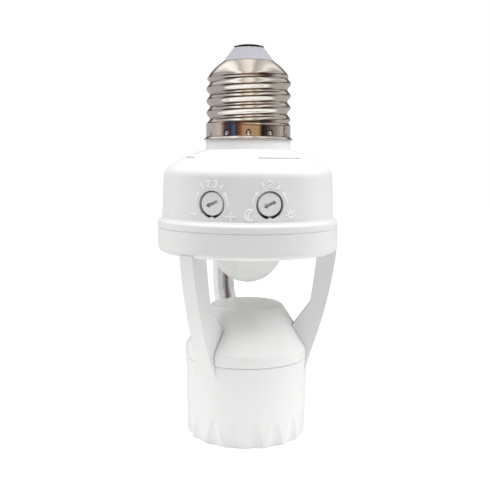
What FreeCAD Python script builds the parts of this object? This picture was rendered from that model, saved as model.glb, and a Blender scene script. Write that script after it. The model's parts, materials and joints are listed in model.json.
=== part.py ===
import FreeCAD, Part
import math
import os
import re

import Sketcher

# Motion sensor lamp holder: a screw cap on top, a domed sensor housing with two setting knobs,
# a frame with three channelled legs, and a lamp socket hanging in a fluted cup below.
# Millimetres and degrees. Z is the axis, with zero at the cup's rim. Each angle round the axis is
# measured from the front, which faces -Y, towards +X.

V = FreeCAD.Vector

SIZES = {
    # How far a cutting form reaches past the face that it opens
    "cut_clearance": 1.0,
    # Cup, the lowest part of the frame
    "cup_height": 25.0,
    "cup_wall": 2.0,
    "cup_draft": 0.6,
    "cup_mouth_step": 0.4,
    "cup_mouth_depth": 3.3,
    "cup_edge": 0.4,
    "cup_rim_edge": 0.55,
    "seat_drop": 2.4,
    "seat_step": 0.6,
    "seam_edge": 0.25,
    "flute_count": 18,
    "flute_radius": 5.8,
    "flute_depth": 0.95,
    "flute_height": 7.6,
    "flute_turn": 7.5,
    # Legs, each with a gusset that stands on the cup
    "leg_count": 3,
    "leg_rise": 33.4,
    "leg_inset": 0.1,
    "knee_offset": 2.85,
    "knee_rise": 6.5,
    "leg_bend": 140.0,
    "foot_inset": 0.9,
    "foot_drop": 5.3,
    "heel_inset": 1.6,
    "leg_depth_top": 5.9,
    "gusset_kink_inset": 2.05,
    "gusset_kink_rise": 17.7,
    "gusset_reach": 2.9,
    "gusset_tip_rise": 10.4,
    "gusset_gap": 0.6,
    "leg_width_top": 5.2,
    "leg_width_waist": 6.0,
    "leg_width_foot": 7.4,
    "leg_flare": 14.0,
    "leg_waist_rise": 1.0,
    "channel_width": 2.2,
    "channel_wall": 1.5,
    "channel_floor_rise": 1.5,
    # Ring of the frame, which carries the lens plate and the circuit board
    "relay_room": 12.1,
    "ring_height": 7.6,
    "ring_wall": 1.9,
    "ring_floor": 1.6,
    "ring_edge": 2.1,
    "ledge_width": 1.1,
    "ledge_rise": 4.2,
    "shelf_width": 4.7,
    # Lens plate, lens and the shroud that holds it down
    "plate_thickness": 1.4,
    "plate_clearance": 0.2,
    "notch_width": 3.2,
    "notch_depth": 3.4,
    "lens_radius": 11.0,
    "lens_lift": 0.9,
    "lens_wall": 0.8,
    "lens_clearance": 0.15,
    "lens_flange": 0.8,
    "lens_flange_width": 1.8,
    "shroud_wall": 3.4,
    # Circuit board
    "board_thickness": 1.6,
    "board_clearance": 0.2,
    # Upper housing: neck, shoulder, dome wall and rim
    "rim_height": 2.6,
    "rim_edge": 0.9,
    "rim_step": 1.4,
    "dome_foot_rise": 3.3,
    "dome_draft": 0.5,
    "dome_height": 12.3,
    "shoulder_edge": 3.6,
    "shoulder_inset": 2.55,
    "shoulder_rise": 3.4,
    "shoulder_crown": 34.0,
    "neck_step": 0.03,
    "neck_rise": 4.9,
    "neck_height": 3.0,
    "housing_wall": 1.8,
    "spigot_height": 4.2,
    "spigot_clearance": 0.15,
    "spigot_wall": 1.92,
    "vent_inset": 3.75,
    "vent_width": 0.8,
    "vent_span": 44.0,
    "vent_turn_right": 9.5,
    "vent_turn_left": 83.5,
    "post_inset": 4.9,
    "post_radius": 2.5,
    "post_turn_front": 48.0,
    "post_turn_back": 138.0,
    "post_turn_left": 230.0,
    # Setting knobs and their trimmers
    "knob_rise": 5.14,
    "time_turn": -43.7,
    "lux_turn": -6.8,
    "knob_radius": 3.4,
    "knob_gap": 0.6,
    "hole_drop": 0.25,
    "knob_recess": 0.7,
    "knob_thickness": 2.0,
    "knob_hub_radius": 2.3,
    "knob_hub_length": 4.4,
    "knob_shaft_radius": 1.2,
    "knob_shaft_length": 3.0,
    "knob_edge": 0.25,
    "slot_length": 3.6,
    "slot_width": 0.9,
    "slot_depth": 0.9,
    "slot_turn": 23.0,
    "arrow_width": 1.7,
    "arrow_length": 0.9,
    "nib_width": 0.8,
    "nib_height": 0.45,
    "trimmer_depth": 3.8,
    "trimmer_width": 9.0,
    "shaft_clearance": 0.05,
    # Screw cap
    "skirt_radius": 13.12,
    "skirt_height": 4.7,
    "lip_width": 0.7,
    "lip_height": 0.4,
    "thread_lap": 0.4,
    "thread_height": 15.4,
    "thread_step": 0.06,
    "thread_depth": 1.02,
    "thread_pitch": 3.629,
    "thread_crest_drop": 0.6,
    "thread_crest_turn": -110.5,
    "thread_fade": 1.4,
    "thread_end_step": 0.6,
    "sheet": 0.35,
    "cap_shoulder_step": 0.1,
    "cap_shoulder_height": 4.1,
    "cap_shoulder_bulge": 17.0,
    "cap_nose_radius": 8.0,
    # Nose insulator and centre contact
    "nose_seat_depth": 0.2,
    "nose_seat_inset": 0.15,
    "nose_head_radius": 4.75,
    "nose_rise": 4.2,
    "nose_plug_lift": 0.4,
    "nose_bore": 1.35,
    "contact_inset": 0.15,
    "contact_edge": 0.5,
    "contact_height": 1.2,
    "contact_stem_radius": 1.2,
    "contact_tail_length": 1.0,
    "contact_tail_radius": 2.0,
    # Socket cap, the cone that closes the cup
    "cone_step": 0.1,
    "cone_band": 3.4,
    "cone_rise": 13.0,
    "cone_foot_edge": 0.6,
    "cone_inset": 8.3,
    "cone_top_edge": 0.9,
    "cone_wall": 1.6,
    "cone_spigot_length": 0.8,
    "cone_spigot_clearance": 0.3,
    "cone_spigot_wall": 1.2,
    "cone_notch_gap": 0.2,
    # Socket core, lamp shell and contacts
    "core_mouth_gap": 0.2,
    "core_clearance": 0.3,
    "core_wall": 2.4,
    "core_lining": 0.25,
    "core_neck_inset": 1.0,
    "core_neck_wall": 2.3,
    "core_shoulder_rise": 0.2,
    "core_neck_height": 4.7,
    "core_floor_thickness": 2.5,
    "socket_shell_radius": 13.85,
    "socket_shell_inset": 0.9,
    "socket_collar": 1.2,
    "socket_head": 1.6,
    "socket_flange_width": 0.95,
    "leaf_width": 5.0,
    "leaf_thickness": 0.4,
    "leaf_root": 8.6,
    "leaf_root_end": 11.0,
    "leaf_bend": 5.6,
    "leaf_drop": 1.7,
    "leaf_tip": -3.2,
    "button_radius": 2.2,
    "button_height": 0.9,
    "button_shank_radius": 1.0,
    "button_shank": 0.7,
    "button_clearance": 0.06,
    "rivet_shank_radius": 1.0,
    "rivet_head_radius": 2.0,
    "rivet_head_height": 0.8,
    "shell_rivet_turn": 60.0,
    "shell_rivet_inset": 0.1,
    "shell_rivet_radius": 0.75,
    "shell_rivet_head_radius": 1.4,
    "shell_rivet_head_height": 1.4,
    # Parts on the circuit board
    "sensor_radius": 4.6,
    "sensor_height": 4.1,
    "sensor_flange_radius": 5.2,
    "sensor_flange_height": 0.5,
    "sensor_window_length": 4.0,
    "sensor_window_width": 3.0,
    "sensor_window_depth": 0.5,
    "light_sensor_radius": 1.5,
    "light_sensor_height": 3.4,
    "light_sensor_place": 7.3,
    "relay_length": 19.0,
    "relay_width": 10.2,
    "relay_height": 15.3,
    "relay_x": 0.5,
    "relay_gap": 1.2,
    "film_length": 17.0,
    "film_width": 5.6,
    "film_height": 11.5,
    "film_x": 2.0,
    "film_gap": 4.2,
    "film_edge": 0.8,
    "can_radius": 4.0,
    "can_height": 11.5,
    "can_gap": 1.0,
    "can_y": 5.2,
    "can_groove": 0.35,
    "can_groove_rise": 1.2,
    "can_groove_half": 0.5,
    "chip_length": 16.0,
    "chip_width": 6.2,
    "chip_height": 3.3,
    "chip_x": 0.0,
    "chip_y": -8.2,
    "chip_notch": 1.0,
    "diode_radius": 1.35,
    "diode_length": 4.0,
    "diode_gap": 3.15,
    "diode_y": -6.5,
    "diode_pitch": 3.8,
    "diode_row": 9.0,
    "resistor_count": 3,
    "resistor_radius": 1.1,
    "resistor_waist": 0.85,
    "resistor_length": 6.2,
    "resistor_gap": 3.9,
    "resistor_y": -5.0,
    "resistor_pitch": 3.0,
    "lead_radius": 0.3,
    "lead_lift": 0.3,
    "lead_reach": 1.0,
    "screw_head_radius": 2.2,
    "screw_head_height": 1.5,
    "screw_radius": 1.1,
    "screw_length": 6.0,
    "screw_clearance": 0.08,
    # Wires
    "wire_radius": 0.8,
    "wire_slack": 0.15,
    "wire_bend": 3.0,
    "wire_lane": -3.15,
    "wire_end_gap": 0.1,
    "live_in_drop": 8.0,
    "neutral_in_drop": 6.6,
    "neutral_in_inset": 2.92,
    "neutral_lane_inset": 3.9,
    "neutral_in_bend_drop": 2.0,
    "neck_entry_rise": 2.1,
    "wire_pad_inset": 4.5,
    "wire_pad_drop": 1.2,
    "wire_channel_drop": 3.0,
    "wire_channel_rise": 3.5,
    "wire_knee_rise": 0.5,
    "wire_knee_inset": 1.4,
    "wire_socket_rise": 1.1,
}

# Radii and heights that follow from the sizes
PLACES = {
    # Cup
    "cup_bore": "core_radius + core_clearance",
    "cup_rim_radius": "cup_bore + cup_wall",
    "cup_top_radius": "cup_rim_radius + cup_draft",
    "cup_mouth_bore": "cup_bore + cup_mouth_step",
    "seat_bore": "cup_bore + seat_step",
    "seat_height": "cup_height - seat_drop",
    # Ring
    "ring_radius": "relay_y + relay_width / 2 + relay_room",
    "ring_bottom": "cup_height + leg_rise",
    "ring_top": "ring_bottom + ring_height",
    "ledge_radius": "ring_radius - ring_wall - ledge_width",
    "ring_opening": "ledge_radius - shelf_width",
    "board_bottom": "ring_bottom + ring_floor + ledge_rise",
    "board_top": "board_bottom + board_thickness",
    "lens_centre": "ring_bottom + lens_lift",
    "lens_flange_radius": "lens_radius + lens_flange_width",
    "shroud_bore": "lens_flange_radius - shroud_wall",
    # Legs
    "leg_top": "ring_bottom + ring_floor / 2",
    "leg_top_radius": "ring_radius - leg_inset",
    "leg_knee_radius": "cup_top_radius + knee_offset",
    "leg_knee_height": "cup_height + knee_rise",
    "leg_foot_radius": "cup_top_radius - foot_inset",
    "leg_foot_height": "cup_height - foot_drop",
    "leg_heel_radius": "cup_top_radius - heel_inset",
    "leg_waist_height": "cup_height + leg_waist_rise",
    "gusset_kink_radius": "leg_knee_radius - gusset_kink_inset",
    "gusset_kink_height": "cup_height + gusset_kink_rise",
    "gusset_tip_radius": "leg_heel_radius - gusset_reach",
    "gusset_tip_height": "cup_height + gusset_tip_rise",
    "channel_floor": "cup_height + channel_floor_rise",
    # Upper housing
    "dome_foot_radius": "ring_radius - rim_step",
    "dome_foot_height": "ring_top + dome_foot_rise",
    "dome_top_radius": "dome_foot_radius - dome_draft",
    "dome_top_height": "dome_foot_height + dome_height",
    "shoulder_radius": "dome_top_radius - shoulder_inset",
    "shoulder_height": "dome_top_height + shoulder_rise",
    "neck_radius": "skirt_radius + neck_step",
    "neck_foot": "shoulder_height + neck_rise",
    "neck_top": "neck_foot + neck_height",
    "spigot_radius": "skirt_radius - sheet - spigot_clearance",
    "spigot_top": "neck_top + spigot_height",
    "neck_bore": "spigot_radius - spigot_wall",
    "vent_outer": "shoulder_radius - vent_inset",
    "vent_inner": "vent_outer - vent_width",
    "post_circle": "ring_radius - ring_wall - post_inset",
    # Knobs and trimmers
    "knob_height": "dome_foot_height + knob_rise",
    "knob_face": "dome_foot_radius - knob_recess",
    "trimmer_front": "knob_face - knob_hub_length",
    "knob_shaft_end": "trimmer_front - knob_shaft_length",
    # Screw cap
    "lip_radius": "skirt_radius + lip_width",
    "skirt_top": "neck_top + skirt_height",
    "thread_bottom": "skirt_top - thread_lap",
    "thread_top": "thread_bottom + thread_height",
    "thread_radius": "skirt_radius - thread_step",
    "thread_crest_height": "thread_top - thread_crest_drop",
    "thread_end_radius": "thread_radius - thread_end_step",
    "cap_shoulder_radius": "thread_end_radius - cap_shoulder_step",
    "cap_nose_height": "thread_top + cap_shoulder_height",
    "nose_foot_radius": "cap_nose_radius - nose_seat_inset",
    "nose_foot_height": "cap_nose_height - nose_seat_depth",
    "nose_top": "cap_nose_height + nose_rise",
    "nose_plug_bottom": "thread_top + nose_plug_lift",
    "contact_radius": "nose_head_radius - contact_inset",
    "contact_top": "nose_top + contact_height",
    "contact_tail": "nose_plug_bottom - contact_tail_length",
    # Socket cap
    "cone_foot_radius": "cup_top_radius + cone_step",
    "cone_foot_height": "cup_height + cone_band",
    "cone_top_radius": "cone_foot_radius - cone_inset",
    "cone_top_height": "cone_foot_height + cone_rise",
    "cone_lean": "atan(cone_inset / cone_rise)",
    "cone_spigot_radius": "seat_bore - cone_spigot_clearance",
    "cone_spigot_bore": "cone_spigot_radius - cone_spigot_wall",
    "cone_spigot_bottom": "cup_height - cone_spigot_length",
    # Socket core and lamp shell
    "core_mouth": "cup_mouth_depth + core_mouth_gap",
    "core_bore": "socket_shell_radius + core_lining",
    "core_radius": "core_bore + core_wall",
    "core_flange_radius": "seat_bore - core_clearance",
    "core_neck_radius": "cone_spigot_bore - core_neck_inset",
    "core_neck_bore": "core_neck_radius - core_neck_wall",
    "core_shoulder": "seat_height + core_shoulder_rise",
    "core_floor": "core_shoulder + core_neck_height",
    "core_top": "core_floor + core_floor_thickness",
    "socket_shell_mouth": "core_mouth + socket_shell_inset",
    "socket_thread_bottom": "socket_shell_mouth + socket_collar",
    "socket_thread_top": "core_shoulder - socket_head",
    "socket_shell_flange": "socket_shell_radius - socket_flange_width",
    "shell_rivet_circle": "socket_shell_radius - shell_rivet_inset",
    # Parts on the circuit board
    "film_y": "chip_y + chip_width / 2 + film_gap + film_width / 2",
    "relay_y": "film_y + film_width / 2 + relay_gap + relay_width / 2",
    "can_x": "relay_x - relay_length / 2 - can_gap - can_radius",
    "diode_x": "film_x + film_length / 2 + diode_gap + diode_radius",
    "resistor_x": "chip_x - chip_length / 2 - resistor_gap - resistor_radius - 2 * resistor_pitch",
    # Wires
    "neutral_in_radius": "skirt_radius - neutral_in_inset",
    "neutral_in_lane": "neck_bore - neutral_lane_inset",
    "live_in_end": "contact_tail - live_in_drop",
    "neutral_in_top": "thread_top - neutral_in_drop",
    "neck_entry": "neck_top + neck_entry_rise",
    "wire_pad_circle": "ring_radius - ring_wall - wire_pad_inset",
    "wire_socket_height": "core_top + wire_socket_rise",
}

doc = FreeCAD.newDocument("lamp_holder")
sheet = doc.addObject("Spreadsheet::Sheet", "Sizes")
for row, (alias, number) in enumerate(SIZES.items(), start=1):
    sheet.set(f"A{row}", alias.replace("_", " "))
    sheet.set(f"B{row}", str(number))
    sheet.setAlias(f"B{row}", alias)
doc.recompute()


def bound(text):
    """Spell every place out in sizes, and point each size at the sheet."""
    def spell(word):
        name = word.group()
        if name in PLACES:
            return f"({bound(PLACES[name])})"
        return "Sizes." + name if name in SIZES else name
    return re.sub(r"[a-z_]+", spell, text)


def measure(text):
    """The present number of an expression."""
    return float(sheet.evalExpression(bound(text)))


def bind(feature, prop, text):
    feature.setExpression(prop, bound(text))


def rounded(angle_text, radius_text):
    """A point round the axis, from the front towards +X."""
    angle = math.radians(measure(angle_text))
    radius = measure(radius_text)
    return V(radius * math.sin(angle), -radius * math.cos(angle), 0)


# Sketches and features

def new_body(label):
    body = doc.addObject("PartDesign::Body", label + "_body")
    body.Label = label
    return body


def origin_feature(body, role):
    return next(item for item in body.Origin.OriginFeatures if item.Role == role)


def new_sketch(body, plane, name, turn=None, lift=None):
    """A sketch on an origin plane: turned about Z when it stands up, or lifted when it lies flat."""
    sketch = body.newObject("Sketcher::SketchObject", name)
    sketch.AttachmentSupport = (origin_feature(body, plane), "")
    sketch.MapMode = "FlatFace"
    if turn:
        sketch.AttachmentOffset = FreeCAD.Placement(V(0, 0, 0), FreeCAD.Rotation(V(0, 1, 0), 1))
        bind(sketch, "AttachmentOffset.Rotation.Angle", turn)
    if lift:
        bind(sketch, "AttachmentOffset.Base.z", lift)
    return sketch


def place(sketch, edge, point, across, up):
    """Hold one point of an edge at two bound distances from the sketch's origin."""
    for kind, text in (("DistanceX", across), ("DistanceY", up)):
        index = sketch.addConstraint(Sketcher.Constraint(kind, edge, point, measure(text)))
        if re.search("[a-z]", text):
            sketch.setExpression(f"Constraints[{index}]", bound(text))


def arc_between(start, end, radius):
    """The short arc between two points: anticlockwise for a positive radius, clockwise for a negative one."""
    if radius < 0:
        start, end = end, start
    chord = end - start
    reach = math.sqrt(max(radius ** 2 - (chord.Length / 2) ** 2, 0))
    left = V(-chord.y, chord.x, 0).normalize()
    centre = (start + end) * 0.5 + left * reach
    first, last = start - centre, end - centre
    circle = Part.Circle(centre, V(0, 0, 1), abs(radius))
    return Part.ArcOfCircle(circle, math.atan2(first.y, first.x), math.atan2(last.y, last.x))


def outline(sketch, corners):
    """A closed loop. A corner is (across, up), with a third term for an arc's radius to the next corner."""
    first = sketch.GeometryCount
    spots = [V(measure(corner[0]), measure(corner[1]), 0) for corner in corners]
    ends = []
    for index, corner in enumerate(corners):
        start, end = spots[index], spots[(index + 1) % len(spots)]
        if len(corner) == 3:
            radius = measure(corner[2])
            sketch.addGeometry(arc_between(start, end, radius), False)
            ends.append((1, 2) if radius > 0 else (2, 1))
        else:
            sketch.addGeometry(Part.LineSegment(start, end), False)
            ends.append((1, 2))
    for index, corner in enumerate(corners):
        edge = first + index
        following = (index + 1) % len(corners)
        sketch.addConstraint(Sketcher.Constraint("Coincident", edge, ends[index][1],
                                                 first + following, ends[following][0]))
        place(sketch, edge, ends[index][0], corner[0], corner[1])
        if len(corner) == 3:
            held = sketch.addConstraint(Sketcher.Constraint("Radius", edge, abs(measure(corner[2]))))
            sketch.setExpression(f"Constraints[{held}]", f"abs({bound(corner[2])})")


def ring_of(sketch, across, up, radius):
    """A circle with a bound centre and radius."""
    centre = V(measure(across), measure(up), 0)
    edge = sketch.addGeometry(Part.Circle(centre, V(0, 0, 1), measure(radius)), False)
    place(sketch, edge, 3, across, up)
    held = sketch.addConstraint(Sketcher.Constraint("Radius", edge, measure(radius)))
    sketch.setExpression(f"Constraints[{held}]", bound(radius))


def revolve(body, name, corners):
    """Turn an outline of radius and height round Z."""
    sketch = new_sketch(body, "XZ_Plane", name + "_profile")
    outline(sketch, corners)
    feature = body.newObject("PartDesign::Revolution", name)
    feature.Profile = sketch
    feature.ReferenceAxis = (sketch, ["V_Axis"])
    feature.Angle = 360
    return feature


def extrude(body, kind, name, sketch, length, symmetric=False, backwards=False):
    """A pad or a pocket of a sketch, with a bound length."""
    feature = body.newObject("PartDesign::" + kind, name)
    feature.Profile = sketch
    feature.Type = "Length"
    feature.SideType = "Symmetric" if symmetric else "One side"
    feature.Reversed = backwards
    feature.Length = measure(length)
    if re.search("[a-z]", length):
        bind(feature, "Length", length)
    return feature


def polar(body, name, features, count):
    """Copy features round Z."""
    pattern = body.newObject("PartDesign::PolarPattern", name)
    pattern.Originals = features
    pattern.Axis = (origin_feature(body, "Z_Axis"), [""])
    pattern.Angle = 360
    pattern.Occurrences = int(measure(count))
    bind(pattern, "Occurrences", count)
    body.Tip = pattern
    return pattern


def boolean(kind, label, first, others):
    """A cut, a fusion or a common of finished objects."""
    feature = doc.addObject("Part::" + kind, label)
    if kind == "MultiFuse":
        feature.Shapes = [first] + others
    else:
        feature.Base = first
        feature.Tool = others[0]
    feature.Label = label
    return feature


def shaped(label, shape):
    """A piece whose form is made by Part's own functions."""
    feature = doc.addObject("Part::Feature", label)
    feature.Label = label
    feature.Shape = shape
    return feature


def block(label, length, width, height, x, y, base):
    """A box standing on a height, centred on x and y."""
    box = doc.addObject("Part::Box", label)
    box.Label = label
    for prop, text in (("Length", length), ("Width", width), ("Height", height)):
        bind(box, prop, text)
    bind(box, "Placement.Base.x", f"{x} - {length} / 2")
    bind(box, "Placement.Base.y", f"{y} - {width} / 2")
    bind(box, "Placement.Base.z", base)
    return box


def rod(label, radius, height, x, y, base):
    """An upright cylinder standing on a height."""
    cylinder = doc.addObject("Part::Cylinder", label)
    cylinder.Label = label
    bind(cylinder, "Radius", radius)
    bind(cylinder, "Height", height)
    bind(cylinder, "Placement.Base.x", x)
    bind(cylinder, "Placement.Base.y", y)
    bind(cylinder, "Placement.Base.z", base)
    return cylinder


# Rolled screw threads

THREAD_STEPS_ROUND = 28
THREAD_STEPS_UP = 30


def eased(share):
    """A smooth step from 0 to 1."""
    share = min(max(share, 0), 1)
    return share * share * (3 - 2 * share)


def thread_wave(height, turn, crest_height):
    """How deep the rolled groove is at a spot. The crests follow a right-handed helix."""
    lead = (turn - measure("thread_crest_turn")) / 360
    phase = (height - crest_height) / measure("thread_pitch") - lead
    return measure("thread_depth") * (1 - math.cos(2 * math.pi * phase)) / 2


def thread_skin(radius_text, end_text, bottom_text, top_text, crest_text):
    """A closed tube of one smooth surface, with flat ends. The top end runs out to a radius of its own."""
    radius, end_radius = measure(radius_text), measure(end_text)
    bottom, top, crest = measure(bottom_text), measure(top_text), measure(crest_text)
    fade = measure("thread_fade")
    rows = []
    for step in range(THREAD_STEPS_ROUND + 1):
        turn = 360 * step / THREAD_STEPS_ROUND
        angle = math.radians(turn)
        row = []
        for rise in range(THREAD_STEPS_UP + 1):
            height = bottom + (top - bottom) * rise / THREAD_STEPS_UP
            reach = radius - thread_wave(height, turn, crest) * eased((height - bottom) / fade)
            reach = end_radius + (reach - end_radius) * eased((top - height) / fade)
            row.append(V(reach * math.sin(angle), -reach * math.cos(angle), height))
        rows.append(row)
    surface = Part.BSplineSurface()
    surface.interpolate(rows)
    side = surface.toShape()
    closed = [edge for edge in side.Edges if edge.isClosed()]
    lids = [Part.Face(Part.Wire([edge])) for edge in closed]
    solid = Part.Solid(Part.Shell([side] + lids))
    solid.fix(0.001, 0.001, 0.001)
    return solid


def turned(corners):
    """A solid turned from an outline of radius and height, read from the sheet."""
    spots = [V(measure(radius), 0, measure(height)) for radius, height in corners]
    return Part.Face(Part.makePolygon(spots + spots[:1])).revolve(V(0, 0, 0), V(0, 0, 1), 360)


# Screw cap: shell, insulator and centre contact

def build_screw_shell():
    """Thin rolled sheet: a flared lip, a plain skirt, the helical thread and the round shoulder."""
    ends = ("thread_bottom", "thread_top", "thread_crest_height")
    outer = thread_skin("thread_radius", "thread_end_radius", *ends)
    inner = thread_skin("thread_radius - sheet", "thread_end_radius - sheet", *ends)
    thread = outer.cut(inner)
    skirt = turned([("skirt_radius - sheet", "neck_top"), ("lip_radius", "neck_top"),
                    ("lip_radius", "neck_top + lip_height"), ("skirt_radius", "neck_top + 2 * lip_height"),
                    ("skirt_radius", "skirt_top"), ("skirt_radius - sheet", "skirt_top")])
    foot = V(measure("cap_shoulder_radius"), 0, measure("thread_top"))
    head = V(measure("cap_nose_radius"), 0, measure("cap_nose_height"))
    flat = arc_between(V(foot.x, foot.z, 0), V(head.x, head.z, 0), measure("cap_shoulder_bulge"))
    middle = flat.value((flat.FirstParameter + flat.LastParameter) / 2)
    sheet_wall = measure("sheet")
    along = (head - foot).normalize()
    inward = V(-along.z, 0, along.x) * sheet_wall
    inward = inward if inward.x < 0 else inward * -1
    outside = Part.Arc(foot, V(middle.x, 0, middle.y), head).toShape()
    inside = Part.Arc(head + inward, V(middle.x, 0, middle.y) + inward, foot + V(-sheet_wall, 0, 0)).toShape()
    low_out = foot - V(0, 0, sheet_wall / 2)
    low_in = low_out - V(sheet_wall, 0, 0)
    wall = [outside, Part.LineSegment(head, head + inward).toShape(), inside,
            Part.LineSegment(foot + V(-sheet_wall, 0, 0), low_in).toShape(),
            Part.LineSegment(low_in, low_out).toShape(), Part.LineSegment(low_out, foot).toShape()]
    shoulder = Part.Face(Part.Wire(wall)).revolve(V(0, 0, 0), V(0, 0, 1), 360)
    return shaped("screw_shell", thread.fuse([skirt, shoulder]))


def build_nose_insulator():
    body = new_body("nose_insulator")
    revolve(body, "insulator", [
        ("nose_bore", "nose_plug_bottom"),
        ("cap_nose_radius - 2 * sheet", "nose_plug_bottom"),
        ("nose_foot_radius - sheet", "nose_foot_height"),
        ("nose_foot_radius", "nose_foot_height + sheet"),
        ("nose_head_radius", "nose_top"),
        ("nose_bore", "nose_top")])
    return body


def build_centre_contact():
    """A domed disc on the nose, riveted through it."""
    body = new_body("centre_contact")
    dome = "(contact_top - nose_top - contact_edge)"
    revolve(body, "contact", [
        ("0", "contact_tail"),
        ("contact_tail_radius", "contact_tail"),
        ("contact_tail_radius", "nose_plug_bottom"),
        ("contact_stem_radius", "nose_plug_bottom"),
        ("contact_stem_radius", "nose_top"),
        ("contact_radius", "nose_top"),
        ("contact_radius", "nose_top + contact_edge", f"(contact_radius^2 + {dome}^2) / (2 * {dome})"),
        ("0", "contact_top")])
    return body


# Upper housing

VENTS = ("vent_turn_right", "vent_turn_left", "(vent_turn_right + 180)", "(vent_turn_left + 180)")
POSTS = (("front", "post_turn_front"), ("back", "post_turn_back"), ("left", "post_turn_left"))


def build_upper_housing():
    """A shell whose cavity is cut out of the solid form, so that the screw posts stay behind."""
    form = new_body("housing_form")
    revolve(form, "dome", [
        ("neck_bore", "ring_top"),
        ("ring_radius - seam_edge", "ring_top"),
        ("ring_radius", "ring_top + seam_edge"),
        ("ring_radius", "ring_top + rim_height - rim_edge", "rim_edge"),
        ("ring_radius - rim_edge", "ring_top + rim_height"),
        ("dome_foot_radius", "dome_foot_height"),
        ("dome_top_radius", "dome_top_height", "shoulder_edge"),
        ("shoulder_radius", "shoulder_height", "shoulder_crown"),
        ("neck_radius", "neck_foot"),
        ("neck_radius", "neck_top"),
        ("spigot_radius", "neck_top"),
        ("spigot_radius", "spigot_top"),
        ("neck_bore", "spigot_top")])
    vents = new_sketch(form, "XY_Plane", "vent_profile", lift="neck_foot")
    for middle in VENTS:
        vent_outline(vents, middle)
    extrude(form, "Pocket", "vents", vents, "neck_foot - dome_top_height - housing_wall")
    for name, turn in (("time_hole", "time_turn"), ("lux_hole", "lux_turn")):
        hole = new_sketch(form, "XZ_Plane", name + "_profile", turn=turn)
        nibbed_hole(hole)
        extrude(form, "Pocket", name, hole, "ring_radius", backwards=True)

    cavity = new_body("housing_cavity")
    revolve(cavity, "hollow", [
        ("0", "board_top"),
        ("ring_radius - ring_wall", "board_top"),
        ("ring_radius - ring_wall", "ring_top"),
        ("dome_foot_radius - housing_wall", "dome_foot_height"),
        ("dome_top_radius - housing_wall", "dome_top_height", "shoulder_edge"),
        ("shoulder_radius - housing_wall", "shoulder_height - housing_wall", "shoulder_crown"),
        ("neck_radius", "neck_foot - housing_wall"),
        ("0", "neck_foot - housing_wall")])
    posts = new_sketch(cavity, "XY_Plane", "post_profile", lift="board_top")
    for _, turn in POSTS:
        ring_of(posts, f"post_circle * sin({turn})", f"-post_circle * cos({turn})", "post_radius")
    extrude(cavity, "Pocket", "posts", posts, "neck_foot - ring_top", backwards=True)

    shell = boolean("Cut", "housing_shell", form, [cavity])
    holes = [rod("screw_bore_" + name, "screw_radius + screw_clearance", "screw_length",
                 f"post_circle * sin({turn})", f"-post_circle * cos({turn})", "board_top")
             for name, turn in POSTS]
    bores = boolean("MultiFuse", "screw_bores", holes[0], holes[1:])
    return boolean("Cut", "upper_housing", shell, [bores])


def vent_outline(sketch, middle):
    """One arc-shaped slot round the axis."""
    low, high = f"({middle} - vent_span / 2)", f"({middle} + vent_span / 2)"
    outline(sketch, [
        (f"vent_inner * sin({low})", f"-vent_inner * cos({low})"),
        (f"vent_outer * sin({low})", f"-vent_outer * cos({low})", "vent_outer"),
        (f"vent_outer * sin({high})", f"-vent_outer * cos({high})"),
        (f"vent_inner * sin({high})", f"-vent_inner * cos({high})", "-vent_inner")])


def nibbed_hole(sketch):
    """A round hole with a small pointer nib at its lowest place."""
    radius = "(knob_radius + knob_gap)"
    level = "(knob_height - hole_drop)"
    foot = f"{level} - sqrt({radius}^2 - (nib_width / 2)^2)"
    edges = [("-nib_width / 2", foot), ("-nib_width / 2", f"{foot} + nib_height"),
             ("nib_width / 2", f"{foot} + nib_height"), ("nib_width / 2", foot)]
    spots = [V(measure(across), measure(up), 0) for across, up in edges]
    centre = V(0, measure(level), 0)
    start, end = spots[3] - centre, spots[0] - centre
    circle = Part.Circle(centre, V(0, 0, 1), measure(radius))
    sketch.addGeometry(Part.ArcOfCircle(circle, math.atan2(start.y, start.x),
                                        math.atan2(end.y, end.x) + 2 * math.pi), False)
    for index in range(3):
        sketch.addGeometry(Part.LineSegment(spots[index], spots[index + 1]), False)
    for index in range(4):
        sketch.addConstraint(Sketcher.Constraint("Coincident", index, 2, (index + 1) % 4, 1))
    for index in range(3):
        place(sketch, index + 1, 1, *edges[index])
    place(sketch, 3, 2, *edges[3])
    held = sketch.addConstraint(Sketcher.Constraint("Radius", 0, measure(radius)))
    sketch.setExpression(f"Constraints[{held}]", bound(radius))


# Setting knobs and trimmers

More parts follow.
